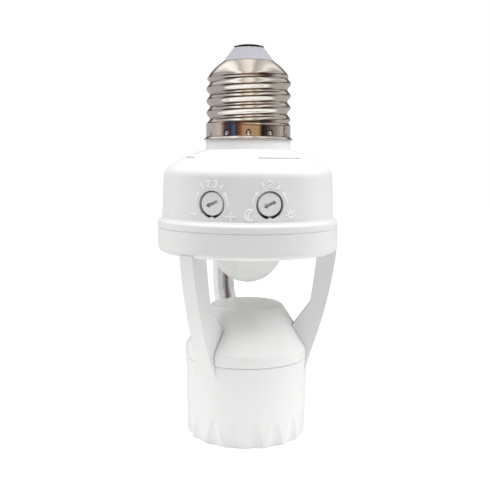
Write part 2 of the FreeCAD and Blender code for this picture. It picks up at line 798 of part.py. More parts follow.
def build_knob(label, turn):
    """A round face with an arrow slot, a hub and a shaft. It is drawn at the front and turned into place."""
    body = new_body(label)
    spin = body.newObject("Sketcher::SketchObject", label + "_profile")
    spin.AttachmentSupport = (origin_feature(body, "YZ_Plane"), "")
    spin.MapMode = "FlatFace"
    outline(spin, [
        ("-knob_shaft_end", "0"),
        ("-knob_shaft_end", "-knob_shaft_radius"),
        ("-trimmer_front - shaft_clearance", "-knob_shaft_radius"),
        ("-trimmer_front - shaft_clearance", "-knob_hub_radius"),
        ("-knob_face + knob_thickness", "-knob_hub_radius"),
        ("-knob_face + knob_thickness", "-knob_radius"),
        ("-knob_face + knob_edge", "-knob_radius"),
        ("-knob_face", "-knob_radius + knob_edge"),
        ("-knob_face", "0")])
    turn_feature = body.newObject("PartDesign::Revolution", label + "_turned")
    turn_feature.Profile = spin
    turn_feature.ReferenceAxis = (spin, ["H_Axis"])
    turn_feature.Angle = 360
    face = new_sketch(body, "XZ_Plane", label + "_slot")
    cos_turn, sin_turn = "cos(slot_turn)", "sin(slot_turn)"

    def tilted(along, aside):
        return (f"({along}) * {cos_turn} - ({aside}) * {sin_turn}",
                f"({along}) * {sin_turn} + ({aside}) * {cos_turn}")
    half, side = "slot_length / 2", "slot_width / 2"
    outline(face, [
        tilted(half, side), tilted(f"arrow_length - {half}", side),
        tilted(f"arrow_length - {half}", "arrow_width / 2"), tilted(f"-{half}", "slot_width / 4"),
        tilted(f"-{half}", "-slot_width / 4"), tilted(f"arrow_length - {half}", "-arrow_width / 2"),
        tilted(f"arrow_length - {half}", f"-{side}"), tilted(half, f"-{side}")])
    bind(face, "AttachmentOffset.Base.z", "knob_face - slot_depth")
    extrude(body, "Pocket", label + "_cut", face, "2 * slot_depth", backwards=True)
    seat(body, turn)
    return body


def seat(body, turn):
    """Raise a piece drawn at the front to the knobs' height and turn it round Z to its place."""
    body.Placement = FreeCAD.Placement(V(0, 0, 0), FreeCAD.Rotation(V(0, 0, 1), 1))
    bind(body, "Placement.Rotation.Angle", turn)
    bind(body, "Placement.Base.z", "knob_height")


def build_trimmer(label, turn):
    """A flat potentiometer standing on the board, with a bore for the knob's shaft."""
    body = new_body(label)
    plate = new_sketch(body, "XZ_Plane", label + "_outline")
    half = "trimmer_width / 2"
    foot = "board_top - knob_height"
    outline(plate, [
        (f"-{half}", foot), (half, foot), (half, "0", half), ("0", half, half), (f"-{half}", "0")])
    ring_of(plate, "0", "0", "knob_shaft_radius + shaft_clearance")
    bind(plate, "AttachmentOffset.Base.z", "trimmer_front - trimmer_depth")
    extrude(body, "Pad", label + "_pad", plate, "trimmer_depth")
    seat(body, turn)
    return body


# Frame: ring, legs and cup in one moulding

def leg_outer(offset):
    """The outer edge of a leg, from its top to its foot, moved inwards by an offset."""
    return [
        (f"leg_top_radius - {offset}", "leg_top"),
        (f"leg_knee_radius - {offset}", "leg_knee_height"),
        (f"leg_foot_radius - {offset}", "leg_foot_height")]


def build_lower_frame():
    ring = new_body("frame_ring")
    revolve(ring, "ring", [
        ("ring_opening", "ring_bottom"),
        ("ring_radius - ring_edge", "ring_bottom", "ring_edge"),
        ("ring_radius", "ring_bottom + ring_edge"),
        ("ring_radius", "ring_top - seam_edge"),
        ("ring_radius - seam_edge", "ring_top"),
        ("ring_radius - ring_wall", "ring_top"),
        ("ring_radius - ring_wall", "board_bottom"),
        ("ledge_radius", "board_bottom"),
        ("ledge_radius", "ring_bottom + ring_floor"),
        ("ring_opening", "ring_bottom + ring_floor")])

    legs = new_body("frame_legs")
    side = new_sketch(legs, "YZ_Plane", "leg_side")
    top, knee, foot = leg_outer("0")
    outline(side, [
        (top[0], top[1]),
        ("leg_top_radius - leg_depth_top", "leg_top", "-leg_bend"),
        ("gusset_kink_radius", "gusset_kink_height"),
        ("gusset_tip_radius", "gusset_tip_height"),
        ("gusset_tip_radius", "cup_height + gusset_gap"),
        ("leg_heel_radius", "cup_height + gusset_gap"),
        ("leg_heel_radius", "leg_foot_height"),
        foot,
        (knee[0], knee[1], "leg_bend")])
    web = extrude(legs, "Pad", "leg_web", side, "2 * leg_width_foot", symmetric=True)
    front = new_sketch(legs, "XZ_Plane", "leg_front")
    for sign in ("", "-"):
        bend = "leg_flare" if sign else "-leg_flare"
        outline(front, [
            (f"{sign}leg_width_top / 2", "ring_top"),
            (f"{sign}leg_width_waist / 2", "leg_waist_height", bend),
            (f"{sign}leg_width_foot / 2", "leg_foot_height"),
            (f"{sign}leg_width_foot / 2", "leg_foot_height - cut_clearance"),
            (f"{sign}(leg_width_foot + cut_clearance)", "leg_foot_height - cut_clearance"),
            (f"{sign}(leg_width_foot + cut_clearance)", "ring_top")])
    sides = extrude(legs, "Pocket", "leg_sides", front, "ring_radius + cut_clearance")
    polar(legs, "three_legs", [web, sides], "leg_count")

    cup = new_body("frame_cup")
    revolve(cup, "cup", [
        ("cup_mouth_bore + cup_edge", "0"),
        ("cup_rim_radius - cup_rim_edge", "0", "cup_rim_edge"),
        ("cup_rim_radius", "cup_rim_edge"),
        ("cup_top_radius", "cup_height - seam_edge"),
        ("cup_top_radius - seam_edge", "cup_height"),
        ("seat_bore", "cup_height"),
        ("seat_bore", "seat_height"),
        ("cup_bore", "seat_height"),
        ("cup_bore", "cup_mouth_depth"),
        ("cup_mouth_bore", "cup_mouth_depth"),
        ("cup_mouth_bore", "cup_edge")])
    flute = new_sketch(cup, "XY_Plane", "flute_profile")
    middle = "(cup_rim_radius - flute_depth + flute_radius)"
    ring_of(flute, f"{middle} * sin(flute_turn)", f"-{middle} * cos(flute_turn)", "flute_radius")
    groove = extrude(cup, "Pocket", "flute", flute, "flute_height", backwards=True)
    bind(groove, "TaperAngle", "-atan(flute_depth / flute_height)")
    polar(cup, "flutes", [groove], "flute_count")

    moulding = boolean("MultiFuse", "frame_moulding", ring, [legs, cup])

    channel = new_body("wire_channels")
    run = new_sketch(channel, "YZ_Plane", "channel_side")
    top, knee, foot = leg_outer("channel_wall")
    outline(run, [
        top,
        (top[0], "ring_bottom + ring_floor + cut_clearance"),
        ("ring_opening + cut_clearance", "ring_bottom + ring_floor + cut_clearance"),
        ("ring_opening + cut_clearance", "leg_top"),
        ("ring_opening - 3 * cut_clearance", "ring_bottom - cut_clearance"),
        ("gusset_tip_radius - 3 * cut_clearance", "gusset_kink_height"),
        ("gusset_tip_radius - 3 * cut_clearance", "channel_floor"),
        ("leg_knee_radius - channel_wall - (leg_knee_height - channel_floor)"
         " * (leg_knee_radius - leg_foot_radius) / (leg_knee_height - leg_foot_height)", "channel_floor"),
        (knee[0], knee[1], "leg_bend")])
    cut = extrude(channel, "Pad", "channel_run", run, "channel_width", symmetric=True)
    polar(channel, "three_channels", [cut], "leg_count")
    return boolean("Cut", "lower_frame", moulding, [channel])


# Socket cap

def build_socket_cap():
    """The cone over the cup, notched where the legs' gussets pass through it."""
    body = new_body("socket_cap")
    out, up = "sin(cone_lean)", "cos(cone_lean)"
    revolve(body, "cone", [
        ("cone_foot_radius - seam_edge", "cup_height"),
        ("cone_foot_radius", "cup_height + seam_edge"),
        ("cone_foot_radius", "cone_foot_height - cone_foot_edge", "cone_foot_edge / tan(cone_lean / 2)"),
        (f"cone_foot_radius - cone_foot_edge * {out}", f"cone_foot_height + cone_foot_edge * {up}"),
        (f"cone_top_radius + cone_top_edge * {out}", f"cone_top_height - cone_top_edge * {up}",
         "cone_top_edge / tan(45 deg - cone_lean / 2)"),
        ("cone_top_radius - cone_top_edge", "cone_top_height"),
        ("0", "cone_top_height"),
        ("0", "cone_top_height - cone_wall"),
        ("cone_top_radius - cone_wall / 2", "cone_top_height - cone_wall"),
        ("cone_foot_radius - cone_wall", "cone_foot_height - cone_wall / 2"),
        ("cone_foot_radius - cone_wall", "cup_height + cone_wall / 2"),
        ("cone_spigot_bore", "cup_height + cone_wall / 2"),
        ("cone_spigot_bore", "cone_spigot_bottom"),
        ("cone_spigot_radius", "cone_spigot_bottom"),
        ("cone_spigot_radius", "cup_height")])
    notch = new_sketch(body, "XZ_Plane", "notch_profile", lift="cone_notch_gap - gusset_tip_radius")
    waist, foot = "(leg_width_waist / 2 + cone_notch_gap)", "(leg_width_foot / 2 + cone_notch_gap)"
    outline(notch, [
        (f"-{waist}", "leg_waist_height", "leg_flare"),
        (f"-{foot}", "leg_foot_height"),
        (foot, "leg_foot_height", "leg_flare"),
        (waist, "leg_waist_height"),
        (waist, "cone_top_height"),
        (f"-{waist}", "cone_top_height")])
    slot = extrude(body, "Pocket", "notch", notch, "cone_foot_radius")
    polar(body, "notches", [slot], "leg_count")
    return body


# Lens, its plate and its shroud

def build_lens_plate():
    """A disc on the ring's floor with the lens hole and three notches for the wires."""
    body = new_body("lens_plate")
    revolve(body, "plate", [
        ("lens_radius + lens_clearance", "ring_bottom + ring_floor"),
        ("ledge_radius - plate_clearance", "ring_bottom + ring_floor"),
        ("ledge_radius - plate_clearance", "ring_bottom + ring_floor + plate_thickness"),
        ("lens_radius + lens_clearance", "ring_bottom + ring_floor + plate_thickness")])
    notch = new_sketch(body, "XY_Plane", "wire_notch", lift="ring_bottom")
    outline(notch, [
        ("-notch_width / 2", "ledge_radius - notch_depth"), ("notch_width / 2", "ledge_radius - notch_depth"),
        ("notch_width / 2", "ledge_radius + cut_clearance"),
        ("-notch_width / 2", "ledge_radius + cut_clearance")])
    slot = extrude(body, "Pocket", "wire_slot", notch, "ring_floor + 2 * plate_thickness", backwards=True)
    polar(body, "wire_slots", [slot], "leg_count")
    return body


def build_lens():
    """A thin half-dome with a short barrel and a flange that rests on the plate."""
    body = new_body("lens")
    seat_level = "ring_bottom + ring_floor + plate_thickness"
    inner = "(lens_radius - lens_wall)"
    revolve(body, "dome", [
        ("0", "lens_centre - lens_radius", "lens_radius"),
        ("lens_radius", "lens_centre"),
        ("lens_radius", seat_level),
        ("lens_flange_radius", seat_level),
        ("lens_flange_radius", f"{seat_level} + lens_flange"),
        (inner, f"{seat_level} + lens_flange"),
        (inner, "lens_centre", f"-{inner}"),
        ("0", f"lens_centre - {inner}")])
    return body


def build_lens_shroud():
    """The sleeve round the sensor that holds the lens down."""
    body = new_body("lens_shroud")
    seat_level = "ring_bottom + ring_floor + plate_thickness + lens_flange"
    revolve(body, "sleeve", [
        ("shroud_bore", seat_level),
        ("lens_flange_radius", seat_level),
        ("lens_flange_radius", "board_bottom"),
        ("shroud_bore", "board_bottom")])
    return body


# Circuit board and what it carries

def build_circuit_board():
    """A round board with its three screw holes."""
    body = new_body("circuit_board")
    plan = new_sketch(body, "XY_Plane", "board_plan", lift="board_bottom")
    ring_of(plan, "0", "0", "ring_radius - ring_wall - board_clearance")
    for _, turn in POSTS:
        ring_of(plan, f"post_circle * sin({turn})", f"-post_circle * cos({turn})",
                "screw_radius + screw_clearance")
    extrude(body, "Pad", "board", plan, "board_thickness")
    return body


def build_board_screws():
    """Three screws from below, through the board into the housing's posts."""
    pieces = []
    for name, turn in POSTS:
        x, y = f"post_circle * sin({turn})", f"-post_circle * cos({turn})"
        pieces.append(rod("screw_head_" + name, "screw_head_radius", "screw_head_height", x, y,
                          "board_bottom - screw_head_height"))
        pieces.append(rod("screw_shank_" + name, "screw_radius", "screw_length", x, y, "board_bottom"))
    return boolean("MultiFuse", "board_screws", pieces[0], pieces[1:])


def build_pir_sensor():
    """A metal can under the board with a window in its face."""
    body = new_body("pir_sensor")
    face = "board_bottom - sensor_height"
    revolve(body, "can", [
        ("0", face), ("sensor_radius", face),
        ("sensor_radius", "board_bottom - sensor_flange_height"),
        ("sensor_flange_radius", "board_bottom - sensor_flange_height"),
        ("sensor_flange_radius", "board_bottom"), ("0", "board_bottom")])
    recess = new_sketch(body, "XY_Plane", "window_recess", lift=face)
    centred_rectangle(recess, "sensor_window_length", "sensor_window_width")
    extrude(body, "Pocket", "recess", recess, "sensor_window_depth", backwards=True)
    window = new_body("pir_window")
    pane = new_sketch(window, "XY_Plane", "pane_plan", lift=face)
    centred_rectangle(pane, "sensor_window_length", "sensor_window_width")
    extrude(window, "Pad", "pane", pane, "sensor_window_depth")
    return [body, window]


def centred_rectangle(sketch, length, width):
    outline(sketch, [(f"-{length} / 2", f"-{width} / 2"), (f"{length} / 2", f"-{width} / 2"),
                     (f"{length} / 2", f"{width} / 2"), (f"-{length} / 2", f"{width} / 2")])


def build_light_sensor():
    """A small round-nosed daylight sensor beside the can."""
    rim = "board_bottom - light_sensor_height + light_sensor_radius"
    barrel = rod("light_barrel", "light_sensor_radius", "light_sensor_height - light_sensor_radius",
                 "light_sensor_place", "0", rim)
    nose = doc.addObject("Part::Sphere", "light_nose")
    bind(nose, "Radius", "light_sensor_radius")
    bind(nose, "Placement.Base.x", "light_sensor_place")
    bind(nose, "Placement.Base.z", rim)
    return boolean("MultiFuse", "light_sensor", barrel, [nose])


def build_film_capacitor():
    """A potted box with rounded upright corners."""
    core = block("film_box", "film_length", "film_width", "film_height", "film_x", "film_y", "board_top")
    film = doc.addObject("Part::Fillet", "film_capacitor")
    film.Base = core
    doc.recompute()
    upright = [index for index, edge in enumerate(core.Shape.Edges, start=1)
               if abs(edge.tangentAt(edge.FirstParameter).z) > 0.9]
    film.Edges = [(index, measure("film_edge"), measure("film_edge")) for index in upright]
    return film


def build_main_capacitor():
    """An upright can with the pressed groove near its foot."""
    body = new_body("main_capacitor")
    shallow = "can_radius - can_groove"
    groove = "board_top + can_groove_rise"
    revolve(body, "can", [
        ("0", "board_top"), ("can_radius", "board_top"), ("can_radius", groove),
        (shallow, f"{groove} + can_groove_half"), ("can_radius", f"{groove} + 2 * can_groove_half"),
        ("can_radius", "board_top + can_height - can_groove"),
        (shallow, "board_top + can_height"), ("0", "board_top + can_height")])
    bind(body, "Placement.Base.x", "can_x")
    bind(body, "Placement.Base.y", "can_y")
    return body


def build_control_chip():
    """A two-row chip with the half-round notch that marks its first end."""
    slab = block("chip_slab", "chip_length", "chip_width", "chip_height", "chip_x", "chip_y", "board_top")
    mark = rod("chip_mark", "chip_notch", "chip_height", "chip_x - chip_length / 2", "chip_y",
               "board_top + chip_height / 2")
    return boolean("Cut", "control_chip", slab, [mark])


BULB_SHARE = 0.22
BULB_TAPER = 1.3


def leaded_part(radius_text, waist_text, length_text, x, y):
    """A small axial part lying on the board on its two bent leads."""
    radius, length, lead = measure(radius_text), measure(length_text), measure("lead_radius")
    waist = measure(waist_text)
    level = measure("board_top") + radius + measure("lead_lift")
    ends = length * BULB_SHARE
    slim = ends * BULB_TAPER
    profile = [V(0, 0, 0), V(radius, 0, 0), V(radius, 0, ends), V(waist, 0, slim), V(waist, 0, length - slim),
               V(radius, 0, length - ends), V(radius, 0, length), V(0, 0, length)]
    barrel = Part.Face(Part.makePolygon(profile + profile[:1])).revolve(V(0, 0, 0), V(0, 0, 1), 360)
    barrel.translate(V(0, 0, -length / 2))
    end = length / 2 + measure("lead_reach")
    wire = Part.makeCylinder(lead, 2 * end, V(0, 0, -end))
    drop = [Part.makeCylinder(lead, level - measure("board_top"), V(0, 0, side * end), V(1, 0, 0))
            for side in (-1, 1)]
    knees = [Part.makeSphere(lead, V(0, 0, side * end)) for side in (-1, 1)]
    whole = barrel.fuse([wire] + drop + knees)
    whole.rotate(V(0, 0, 0), V(0, 1, 0), 90)
    whole.rotate(V(0, 0, 0), V(0, 0, 1), 90)
    whole.translate(V(x, y, level))
    return whole


def build_rectifier_diodes():
    x, y = measure("diode_x"), measure("diode_y")
    pitch, row = measure("diode_pitch"), measure("diode_row")
    spots = [(x + pitch * column, y + row * line) for column in (0, 1) for line in (0, 1)]
    diodes = [leaded_part("diode_radius", "diode_radius", "diode_length", *spot) for spot in spots]
    return shaped("rectifier_diodes", Part.Compound(diodes))


def build_resistors():
    x, y, pitch = measure("resistor_x"), measure("resistor_y"), measure("resistor_pitch")
    spots = [(x + pitch * column, y) for column in range(int(measure("resistor_count")))]
    parts = [leaded_part("resistor_radius", "resistor_waist", "resistor_length", *spot) for spot in spots]
    return shaped("resistors", Part.Compound(parts))


# Lamp socket in the cup

def build_socket_core():
    """The insulating sleeve that carries the lamp shell and the contacts."""
    body = new_body("socket_core_form")
    revolve(body, "sleeve", [
        ("core_bore", "core_mouth"),
        ("core_radius", "core_mouth"),
        ("core_radius", "seat_height"),
        ("core_flange_radius", "seat_height"),
        ("core_flange_radius", "cone_spigot_bottom"),
        ("core_neck_radius", "cone_spigot_bottom"),
        ("core_neck_radius", "core_top"),
        ("0", "core_top"),
        ("0", "core_floor"),
        ("core_neck_bore", "core_floor"),
        ("core_neck_bore", "core_shoulder"),
        ("core_bore", "core_shoulder")])
    bores = [rod("leaf_rivet_bore", "rivet_shank_radius + button_clearance",
                 "core_top - core_floor + 2 * cut_clearance", "0", "leaf_root", "core_floor - cut_clearance")]
    for name, turn in SHELL_RIVETS:
        spot = (f"shell_rivet_circle * sin({turn})", f"-shell_rivet_circle * cos({turn})")
        bores.append(rod("shell_rivet_bore_" + name, "shell_rivet_radius + button_clearance",
                         "core_top - core_shoulder + 2 * cut_clearance", *spot,
                         "core_shoulder - cut_clearance"))
    holes = boolean("MultiFuse", "core_bores", bores[0], bores[1:])
    return boolean("Cut", "socket_core", body, [holes])


SHELL_RIVETS = (("right", "shell_rivet_turn"), ("left", "(shell_rivet_turn - 180)"))


def build_socket_shell():
    """The lamp's own threaded sleeve, rolled from sheet, with an inward flange for its rivets."""
    ends = ("socket_thread_bottom", "socket_thread_top", "socket_thread_top - thread_pitch")
    outer = thread_skin("socket_shell_radius", "socket_shell_radius", *ends)
    inner = thread_skin("socket_shell_radius - sheet", "socket_shell_radius - sheet", *ends)
    tube = outer.cut(inner)
    lap = measure("sheet")
    mouth = turned([("socket_shell_radius - 1.5 * sheet", "socket_shell_mouth"),
                    ("socket_shell_radius - 0.5 * sheet", "socket_shell_mouth"),
                    ("socket_shell_radius - 0.5 * sheet", "socket_thread_bottom + sheet"),
                    ("socket_shell_radius - 1.5 * sheet", "socket_thread_bottom + sheet")])
    head = turned([("socket_shell_radius - 1.5 * sheet", "socket_thread_top - sheet"),
                   ("socket_shell_radius - 0.5 * sheet", "socket_thread_top - sheet"),
                   ("socket_shell_radius - 0.5 * sheet", "core_shoulder - sheet"),
                   ("socket_shell_radius + 0.4 * sheet", "core_shoulder - sheet"),
                   ("socket_shell_radius + 0.4 * sheet", "core_shoulder"),
                   ("socket_shell_flange", "core_shoulder"),
                   ("socket_shell_flange", "core_shoulder - sheet"),
                   ("socket_shell_radius - 1.5 * sheet", "core_shoulder - sheet")])
    whole = tube.fuse([mouth, head])
    for _, turn in SHELL_RIVETS:
        spot = rounded(turn, "shell_rivet_circle")
        bore = Part.makeCylinder(measure("shell_rivet_radius + button_clearance"), 4 * lap,
                                 spot + V(0, 0, measure("core_shoulder") - 2 * lap))
        whole = whole.cut(bore)
    return shaped("bulb_screw_shell", whole)


def build_shell_rivets():
    pieces = []
    for name, turn in SHELL_RIVETS:
        spot = (f"shell_rivet_circle * sin({turn})", f"-shell_rivet_circle * cos({turn})")
        pieces.append(rod("shell_rivet_" + name, "shell_rivet_radius",
                          "core_top - core_shoulder + sheet + shell_rivet_head_height", *spot,
                          "core_shoulder - sheet"))
        pieces.append(rod("shell_rivet_head_" + name, "shell_rivet_head_radius", "shell_rivet_head_height",
                          *spot, "core_top"))
    return boolean("MultiFuse", "shell_rivets", pieces[0], pieces[1:])


def build_contact_leaf():
    """A bent brass strip: its root lies under the core's floor, and its free end hangs lower."""
    body = new_body("bulb_contact_leaf")
    side = new_sketch(body, "YZ_Plane", "leaf_side")
    outline(side, [
        ("leaf_root_end", "core_floor"),
        ("leaf_bend", "core_floor"),
        ("button_radius", "core_floor - leaf_drop"),
        ("leaf_tip", "core_floor - leaf_drop"),
        ("leaf_tip", "core_floor - leaf_drop - leaf_thickness"),
        ("button_radius", "core_floor - leaf_drop - leaf_thickness"),
        ("leaf_bend", "core_floor - leaf_thickness"),
        ("leaf_root_end", "core_floor - leaf_thickness")])
    extrude(body, "Pad", "leaf", side, "leaf_width", symmetric=True)
    holes = new_sketch(body, "XY_Plane", "leaf_holes", lift="core_floor + cut_clearance")
    ring_of(holes, "0", "0", "button_shank_radius + button_clearance")
    ring_of(holes, "0", "leaf_root", "rivet_shank_radius + button_clearance")
    extrude(body, "Pocket", "leaf_bores", holes, "core_floor - core_shoulder")
    return body


def build_contact_button():
    """The button on the leaf's free end that meets the lamp's own centre contact."""
    body = new_body("bulb_contact_button")
    under = "core_floor - leaf_drop - leaf_thickness - button_clearance"
    rise = "(button_height / 2)"
    revolve(body, "button", [
        ("0", f"{under} - button_height", f"(button_radius^2 + {rise}^2) / (2 * {rise})"),
        ("button_radius", f"{under} - {rise}"),
        ("button_radius", under),
        ("button_shank_radius", under),
        ("button_shank_radius", f"{under} + button_shank"),
        ("0", f"{under} + button_shank")])
    return body


def build_contact_rivet():
    """The rivet that holds the leaf's root and takes the live wire."""
    body = new_body("contact_rivet")
    under = "core_floor - leaf_thickness"
    revolve(body, "rivet", [
        ("0", f"{under} - rivet_head_height"),
        ("rivet_head_radius", f"{under} - rivet_head_height"),
        ("rivet_head_radius", under),
        ("rivet_shank_radius", under),
        ("rivet_shank_radius", "core_top"),
        ("rivet_head_radius", "core_top"),
        ("rivet_head_radius", "core_top + 2 * rivet_head_height"),
        ("0", "core_top + 2 * rivet_head_height")])
    bind(body, "Placement.Base.y", "leaf_root")
    return body


# Wires

def tube_along(points, radius, bend):
    """A round wire along straight runs joined by tangent arcs."""
    edges = []
    start = points[0]
    for before, corner, after in zip(points, points[1:], points[2:]):
        arrive, leave = (corner - before).normalize(), (after - corner).normalize()
        turn = arrive.getAngle(leave)
        room = 0.45 * min((corner - before).Length, (after - corner).Length)
        reach = min(bend * math.tan(turn / 2), room)
        arc_radius = reach / math.tan(turn / 2)
        enter, leaving = corner - arrive * reach, corner + leave * reach
        toward = (leave - arrive).normalize()
        middle = corner + toward * (arc_radius / math.cos(turn / 2) - arc_radius)
        edges.append(Part.LineSegment(start, enter).toShape())
        edges.append(Part.Arc(enter, middle, leaving).toShape())
        start = leaving
    edges.append(Part.LineSegment(start, points[-1]).toShape())
    spine = Part.Wire(edges)
    section = Part.Wire(Part.Circle(points[0], points[1] - points[0], radius).toShape())
    tube = spine.makePipeShell([section], True, True)
    assert abs(tube.Volume / (math.pi * radius ** 2 * spine.Length) - 1) < 0.01
    return tube


WIRE_RUNS = 3


def build_wires():
    """Two wires from the screw cap to the board, and two from the board down the legs to the socket."""
    radius, bend = measure("wire_radius"), measure("wire_bend")
    lane, board_top = measure("wire_lane"), measure("board_top")
    entry, cap_end = measure("neck_entry"), measure("live_in_end")
    live_in = [V(0, 0, measure("contact_tail")), V(0, 0, cap_end), V(0, lane, entry), V(0, lane, board_top)]
    far, near = measure("neutral_in_radius"), measure("neutral_in_lane")
    neutral_bend = measure("live_in_end - neutral_in_bend_drop")
    neutral_in = [V(far, lane, measure("neutral_in_top")), V(far, lane, neutral_bend), V(near, lane, entry),
                  V(near, lane, board_top)]

    def leg_line(height):
        """How far out a wire lies that rests against the channel's outer wall."""
        top, knee = measure("leg_top"), measure("leg_knee_height")
        out, bent = measure("leg_top_radius"), measure("leg_knee_radius")
        arc = arc_between(V(out, top, 0), V(bent, knee, 0), -measure("leg_bend"))
        centre, size = arc.Center, arc.Radius
        edge = centre.x + math.sqrt(size ** 2 - (height - centre.y) ** 2)
        return edge - measure("channel_wall + wire_radius + wire_slack")

    board = measure("board_bottom")
    level = measure("wire_socket_height")
    pad = measure("wire_pad_circle")
    high = measure("ring_bottom + ring_floor + plate_thickness - wire_channel_drop")
    low = measure("leg_knee_height + wire_channel_rise")
    heights = [high + (low - high) * step / WIRE_RUNS for step in range(WIRE_RUNS + 1)]
    landing = leg_line(measure("leg_knee_height + wire_knee_rise")) - measure("wire_knee_inset")

    def leg_route(turn, inner_end):
        runs = [(pad, board), (pad, board - measure("wire_pad_drop")), (leg_line(high), high)]
        runs += [(leg_line(height), height) for height in heights[1:]]
        runs += [(landing, level), (inner_end, level)]
        angle = math.radians(turn)
        return [V(out * math.sin(angle), -out * math.cos(angle), height) for out, height in runs]

    leaf_end = measure("leaf_root + rivet_head_radius + wire_end_gap")
    shell_end = measure("shell_rivet_circle + shell_rivet_head_radius + wire_end_gap")
    routes = {
        "live_in_wire": live_in,
        "neutral_in_wire": neutral_in,
        "live_out_wire": leg_route(180, leaf_end),
        "neutral_out_wire": leg_route(measure("shell_rivet_turn"), shell_end)}
    return [shaped(label, tube_along(points, radius, bend)) for label, points in routes.items()]


nodes = [
    build_screw_shell(), build_nose_insulator(), build_centre_contact(), build_upper_housing(),
    build_knob("time_knob", "time_turn"), build_knob("lux_knob", "lux_turn"),
    build_trimmer("time_trimmer", "time_turn"), build_trimmer("lux_trimmer", "lux_turn"),
    build_lower_frame(), build_socket_cap(), build_lens_plate(), build_lens(), build_lens_shroud(),
    build_circuit_board(), build_board_screws(), *build_pir_sensor(), build_light_sensor(),
    block("relay", "relay_length", "relay_width", "relay_height", "relay_x", "relay_y", "board_top"),
    build_film_capacitor(), build_main_capacitor(), build_control_chip(), build_rectifier_diodes(),
    build_resistors(), build_socket_core(), build_socket_shell(), build_shell_rivets(),
    build_contact_leaf(), build_contact_button(), build_contact_rivet(), *build_wires()]

doc.recompute()
for item in doc.Objects:
    if "Invalid" in item.State or "Error" in item.State:
        raise RuntimeError(f"{item.Label} failed: {item.State}")

os.makedirs("parts", exist_ok=True)
for node in nodes:
    if node.Shape.isNull() or not node.Shape.isValid():
        raise RuntimeError(f"{node.Label} has no valid solid")
    node.Shape.exportStep(f"parts/{node.Label}.step")
    print(node.Label, len(node.Shape.Solids), round(node.Shape.Volume, 1))
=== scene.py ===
import json
import math

import bpy
from mathutils import Matrix, Vector


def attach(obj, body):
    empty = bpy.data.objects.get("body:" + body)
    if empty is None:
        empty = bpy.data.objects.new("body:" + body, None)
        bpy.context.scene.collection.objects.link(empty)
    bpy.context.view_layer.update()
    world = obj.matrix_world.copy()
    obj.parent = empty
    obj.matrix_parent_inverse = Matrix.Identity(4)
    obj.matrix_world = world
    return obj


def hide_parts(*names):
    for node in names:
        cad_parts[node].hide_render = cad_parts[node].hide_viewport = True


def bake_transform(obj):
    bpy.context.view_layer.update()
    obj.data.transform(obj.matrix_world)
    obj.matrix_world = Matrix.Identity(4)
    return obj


# Looks of the motion sensor lamp holder: a white moulded housing between a nickel screw cap and a
# fluted lamp cup. Lengths are in millimetres here and turned to metres by the helpers. An angle round
# the axis is measured from the front, which faces -Y, towards +X.

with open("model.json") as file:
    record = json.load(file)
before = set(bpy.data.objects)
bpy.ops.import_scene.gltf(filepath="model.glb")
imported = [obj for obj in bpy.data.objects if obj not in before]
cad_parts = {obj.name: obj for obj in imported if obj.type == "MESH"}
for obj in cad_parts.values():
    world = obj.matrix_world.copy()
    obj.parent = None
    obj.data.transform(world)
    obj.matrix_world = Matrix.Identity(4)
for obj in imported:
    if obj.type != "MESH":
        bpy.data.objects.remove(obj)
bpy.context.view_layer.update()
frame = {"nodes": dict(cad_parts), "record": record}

MM = 0.001
HOLDER = "holder"

# Camera: its angle round the object, its place, tilt in radians, and lens
CAMERA_TURN = -20.5
CAMERA_DISTANCE = 242.243
CAMERA_HEIGHT = 87.916
CAMERA_ASIDE = -0.766
CAMERA_PITCH = 0.1149
CAMERA_ROLL = 0.0077
CAMERA_LENS = 56.5
CAMERA_SENSOR = 36

# Screw cap
LIP_RADIUS = 13.82
LIP_TOP = 94.0
SKIRT_RADIUS = 13.12
NECK_TOP = 92.9
THREAD_BOTTOM = 97.2
THREAD_TOP = 112.6
THREAD_RADIUS = 13.06
THREAD_DEPTH = 1.02
THREAD_PITCH = 3.629
THREAD_CREST = 112.0
THREAD_TURN = -110.5
THREAD_FADE = 1.4
SHEET = 0.35
SHOULDER_FOOT = (12.25, THREAD_TOP)
SHOULDER_HEAD = (8.0, 116.7)
SHOULDER_BULGE = 17.0
SHOULDER_SHEET_DROP = 0.2

# Small steps of the screw cap's edges, as (radius, height) from the lip's foot and the shoulder's head
LIP_EDGE = ((-0.12, 0.0), (0.0, 0.08), (0.0, 0.22))
FLARE_EDGE = (-0.04, 0.3)
MOUTH_EDGE = ((0.0, 0.0), (-0.15, -0.02), (-0.3, -0.25))
SKIRT_INSIDE_DROP = 0.6

# Crimp marks of the skirt
DENT_COUNT = 12
DENT_TURN = -20.5
DENT_HEIGHT = 94.75
DENT_DEPTH = 0.42
DENT_SIZE = 0.4
DENT_MARGIN = 0.75

# How finely the screw cap is divided
SHELL_SEGMENTS = 360
FLARE_ROWS = 8
DENT_ROWS = 18
THREAD_ROWS = 104
SHOULDER_ROWS = 14
INNER_THREAD_ROWS = 40
INNER_SHOULDER_ROWS = 6

# Dome wall that carries the knobs' marks, by the (radius, height) of its foot and top
WALL_FOOT = (26.8, 69.3)
WALL_TOP = (26.3, 81.6)
KNOB_HEIGHT = 74.44
TIME_TURN = -43.7
LUX_TURN = -6.8

# Raised marks
MARK_WIDTH = 0.5
MARK_RISE = 0.16
MARK_SLOPE = 0.08
MARK_ROOT = 0.1
MITRE_LEAST = 0.5
MITRE_MOST = 1.4
SAME_PLACE = 1e-6
DIGIT_RADIUS = 5.75
ARROW_RADIUS = 5.0
ARROW_BARB = 0.8
BARB_ANGLE = 38

